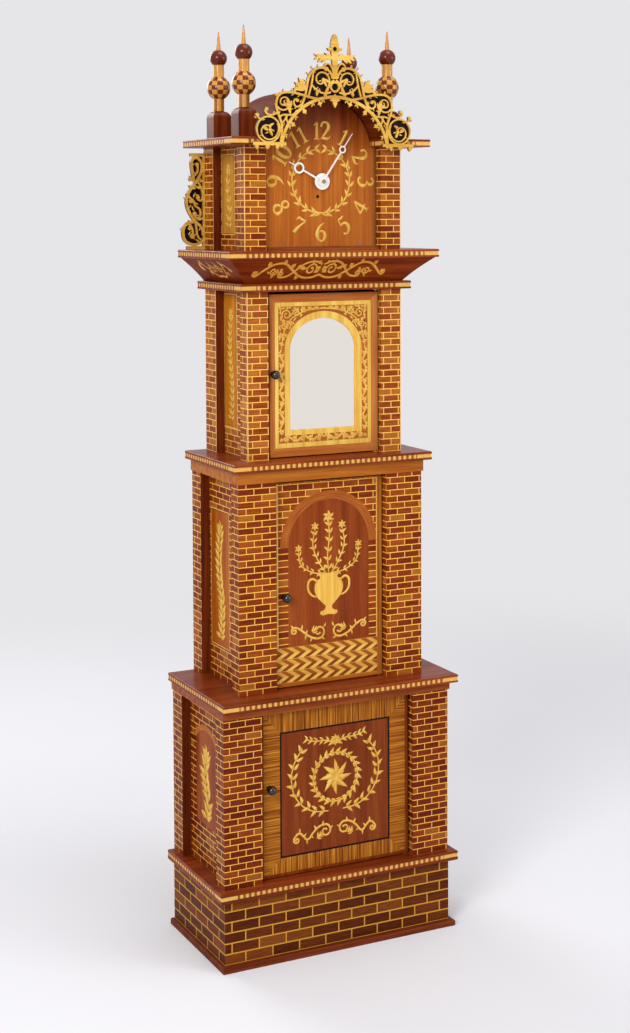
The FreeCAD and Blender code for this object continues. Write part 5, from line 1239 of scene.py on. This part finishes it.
def weight_line():
    """Two strands from the drum down to the pulley, and the half turn under the pulley, which rides with the
    weight.
    """
    low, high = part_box("weight_line")
    wheel_low, wheel_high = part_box("pulley")
    wheel = (wheel_low + wheel_high) / 2
    radius = (high.y - low.y) / 2
    length = high.z - wheel.z
    finish = line_finish()
    work = bmesh.new()
    for x in (low.x + radius, high.x - radius):
        place = Matrix.Translation((x, wheel.y, (wheel.z + high.z) / 2))
        bmesh.ops.create_cone(work, cap_ends=True, segments=LINE_FACETS, radius1=radius,
                              radius2=radius, depth=length, matrix=place)
    strands = made_piece("weight_line_strands", work, finish, "case")
    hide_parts("weight_line")
    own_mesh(strands)

    work = bmesh.new()
    foot = bmesh.ops.create_circle(work, segments=LINE_FACETS, radius=radius,
                                   matrix=Matrix.Translation((low.x + radius, wheel.y, wheel.z)))
    bmesh.ops.spin(work, geom=foot["verts"] + work.edges[:], cent=wheel, axis=(0, 1, 0),
                   angle=-math.pi, steps=TURN_STEPS)
    bmesh.ops.holes_fill(work, edges=[edge for edge in work.edges if edge.is_boundary])
    turn = made_piece("weight_line_turn", work, finish, "weight")
    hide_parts("weight_line")


hand_nut()
dial_screws()
weight_line()


# Floor, light and camera

def seen_directly(tree):
    """1 for what the camera, a reflection or a view through glass sees."""
    path = tree.nodes.new("ShaderNodeLightPath")
    seen = path.outputs["Is Camera Ray"]
    for kind in ("Is Glossy Ray", "Is Transmission Ray"):
        most = tree.nodes.new("ShaderNodeMath")
        most.operation = "MAXIMUM"
        tree.links.new(seen, most.inputs[0])
        tree.links.new(path.outputs[kind], most.inputs[1])
        seen = most.outputs[0]
    return seen


def mix_shaders(tree, share, first, second, end):
    """Leads two shaders, mixed by a share, to the end of the tree."""
    mix = tree.nodes.new("ShaderNodeMixShader")
    for slot, source in zip(mix.inputs, (share, first.outputs[0], second.outputs[0])):
        tree.links.new(source, slot)
    tree.links.new(mix.outputs[0], tree.nodes[end].inputs[0])


FLOOR_SIZE = 60.0
FADE_FROM, FADE_TO = 1500.0, 4200.0


def floor():
    """Pale paper that fades into the backdrop."""
    work = bmesh.new()
    bmesh.ops.create_grid(work, x_segments=1, y_segments=1, size=FLOOR_SIZE)
    finish = Finish("floor_paper", roughness=0.9, coat=0.0)
    finish.colour(finish.blend(finish.cloud((900, 900, 900)), (224, 223, 226), (230, 229, 231)))
    fade = finish.eased(finish.x.reach(finish.y), FADE_FROM, FADE_TO) * seen_directly(finish.tree)
    glow = finish.add("ShaderNodeEmission", {"Color": BACKDROP})
    mix_shaders(finish.tree, fade.socket, finish.shader, glow, "Material Output")
    mesh_object("floor", work, finish)


def world_light():
    """Even light, with the backdrop for what is seen directly."""
    world = bpy.data.worlds.new("studio")
    bpy.context.scene.world = world
    world.use_nodes = True
    tree = world.node_tree
    lit = tree.nodes["Background"]
    seen = tree.nodes.new("ShaderNodeBackground")
    for node, colour, strength in ((lit, (236, 238, 244), 0.55), (seen, BACKDROP, 1.0)):
        node.inputs["Color"].default_value = paint(*colour)
        node.inputs["Strength"].default_value = strength
    mix_shaders(tree, seen_directly(tree), lit, seen, "World Output")


LIT_POINT = Vector((0, 0, 1.2))


def soft_lamp(name, place, size, power):
    """A round lamp, sized in metres, that looks at the middle of the clock."""
    lamp = bpy.data.lights.new(name, "AREA")
    lamp.shape = "DISK"
    lamp.size = size
    lamp.energy = power
    holder = new_object(name, lamp)
    holder.location = place
    holder.rotation_euler = (LIT_POINT - Vector(place)).to_track_quat("-Z", "Y").to_euler()


CAMERA_PLACE = (-1.95312, -3.94075, 1.84022)
CAMERA_TURN = math.radians(26.49)
CAMERA_TILT = math.radians(3.2)
CAMERA_ROLL = -0.004
SENSOR_WIDTH = 36.0
LENS = 60.53
LENS_SHIFT = -0.2


def camera():
    """The camera where the photograph was taken from, as fitted."""
    lens = bpy.data.cameras.new("camera")
    lens.lens = LENS
    lens.sensor_width = SENSOR_WIDTH
    lens.sensor_fit = "AUTO"
    lens.shift_y = LENS_SHIFT
    holder = new_object("camera", lens)
    turned = Matrix.Rotation(-CAMERA_TURN, 4, "Z") @ Matrix.Rotation(math.pi / 2 - CAMERA_TILT, 4, "X")
    holder.matrix_world = Matrix.Translation(CAMERA_PLACE) @ turned @ Matrix.Rotation(CAMERA_ROLL, 4, "Z")
    bpy.context.scene.camera = holder


floor()
world_light()
soft_lamp("key", (-4.2, -3.6, 3.4), 2.4, 210)
soft_lamp("fill", (3.6, -3.4, 2.2), 2.6, 70)
soft_lamp("top", (0.4, -1.0, 5.0), 2.4, 70)
soft_lamp("back", (-1.0, 4.2, 3.2), 2.6, 90)
camera()
bpy.context.scene.view_settings.view_transform = "Standard"
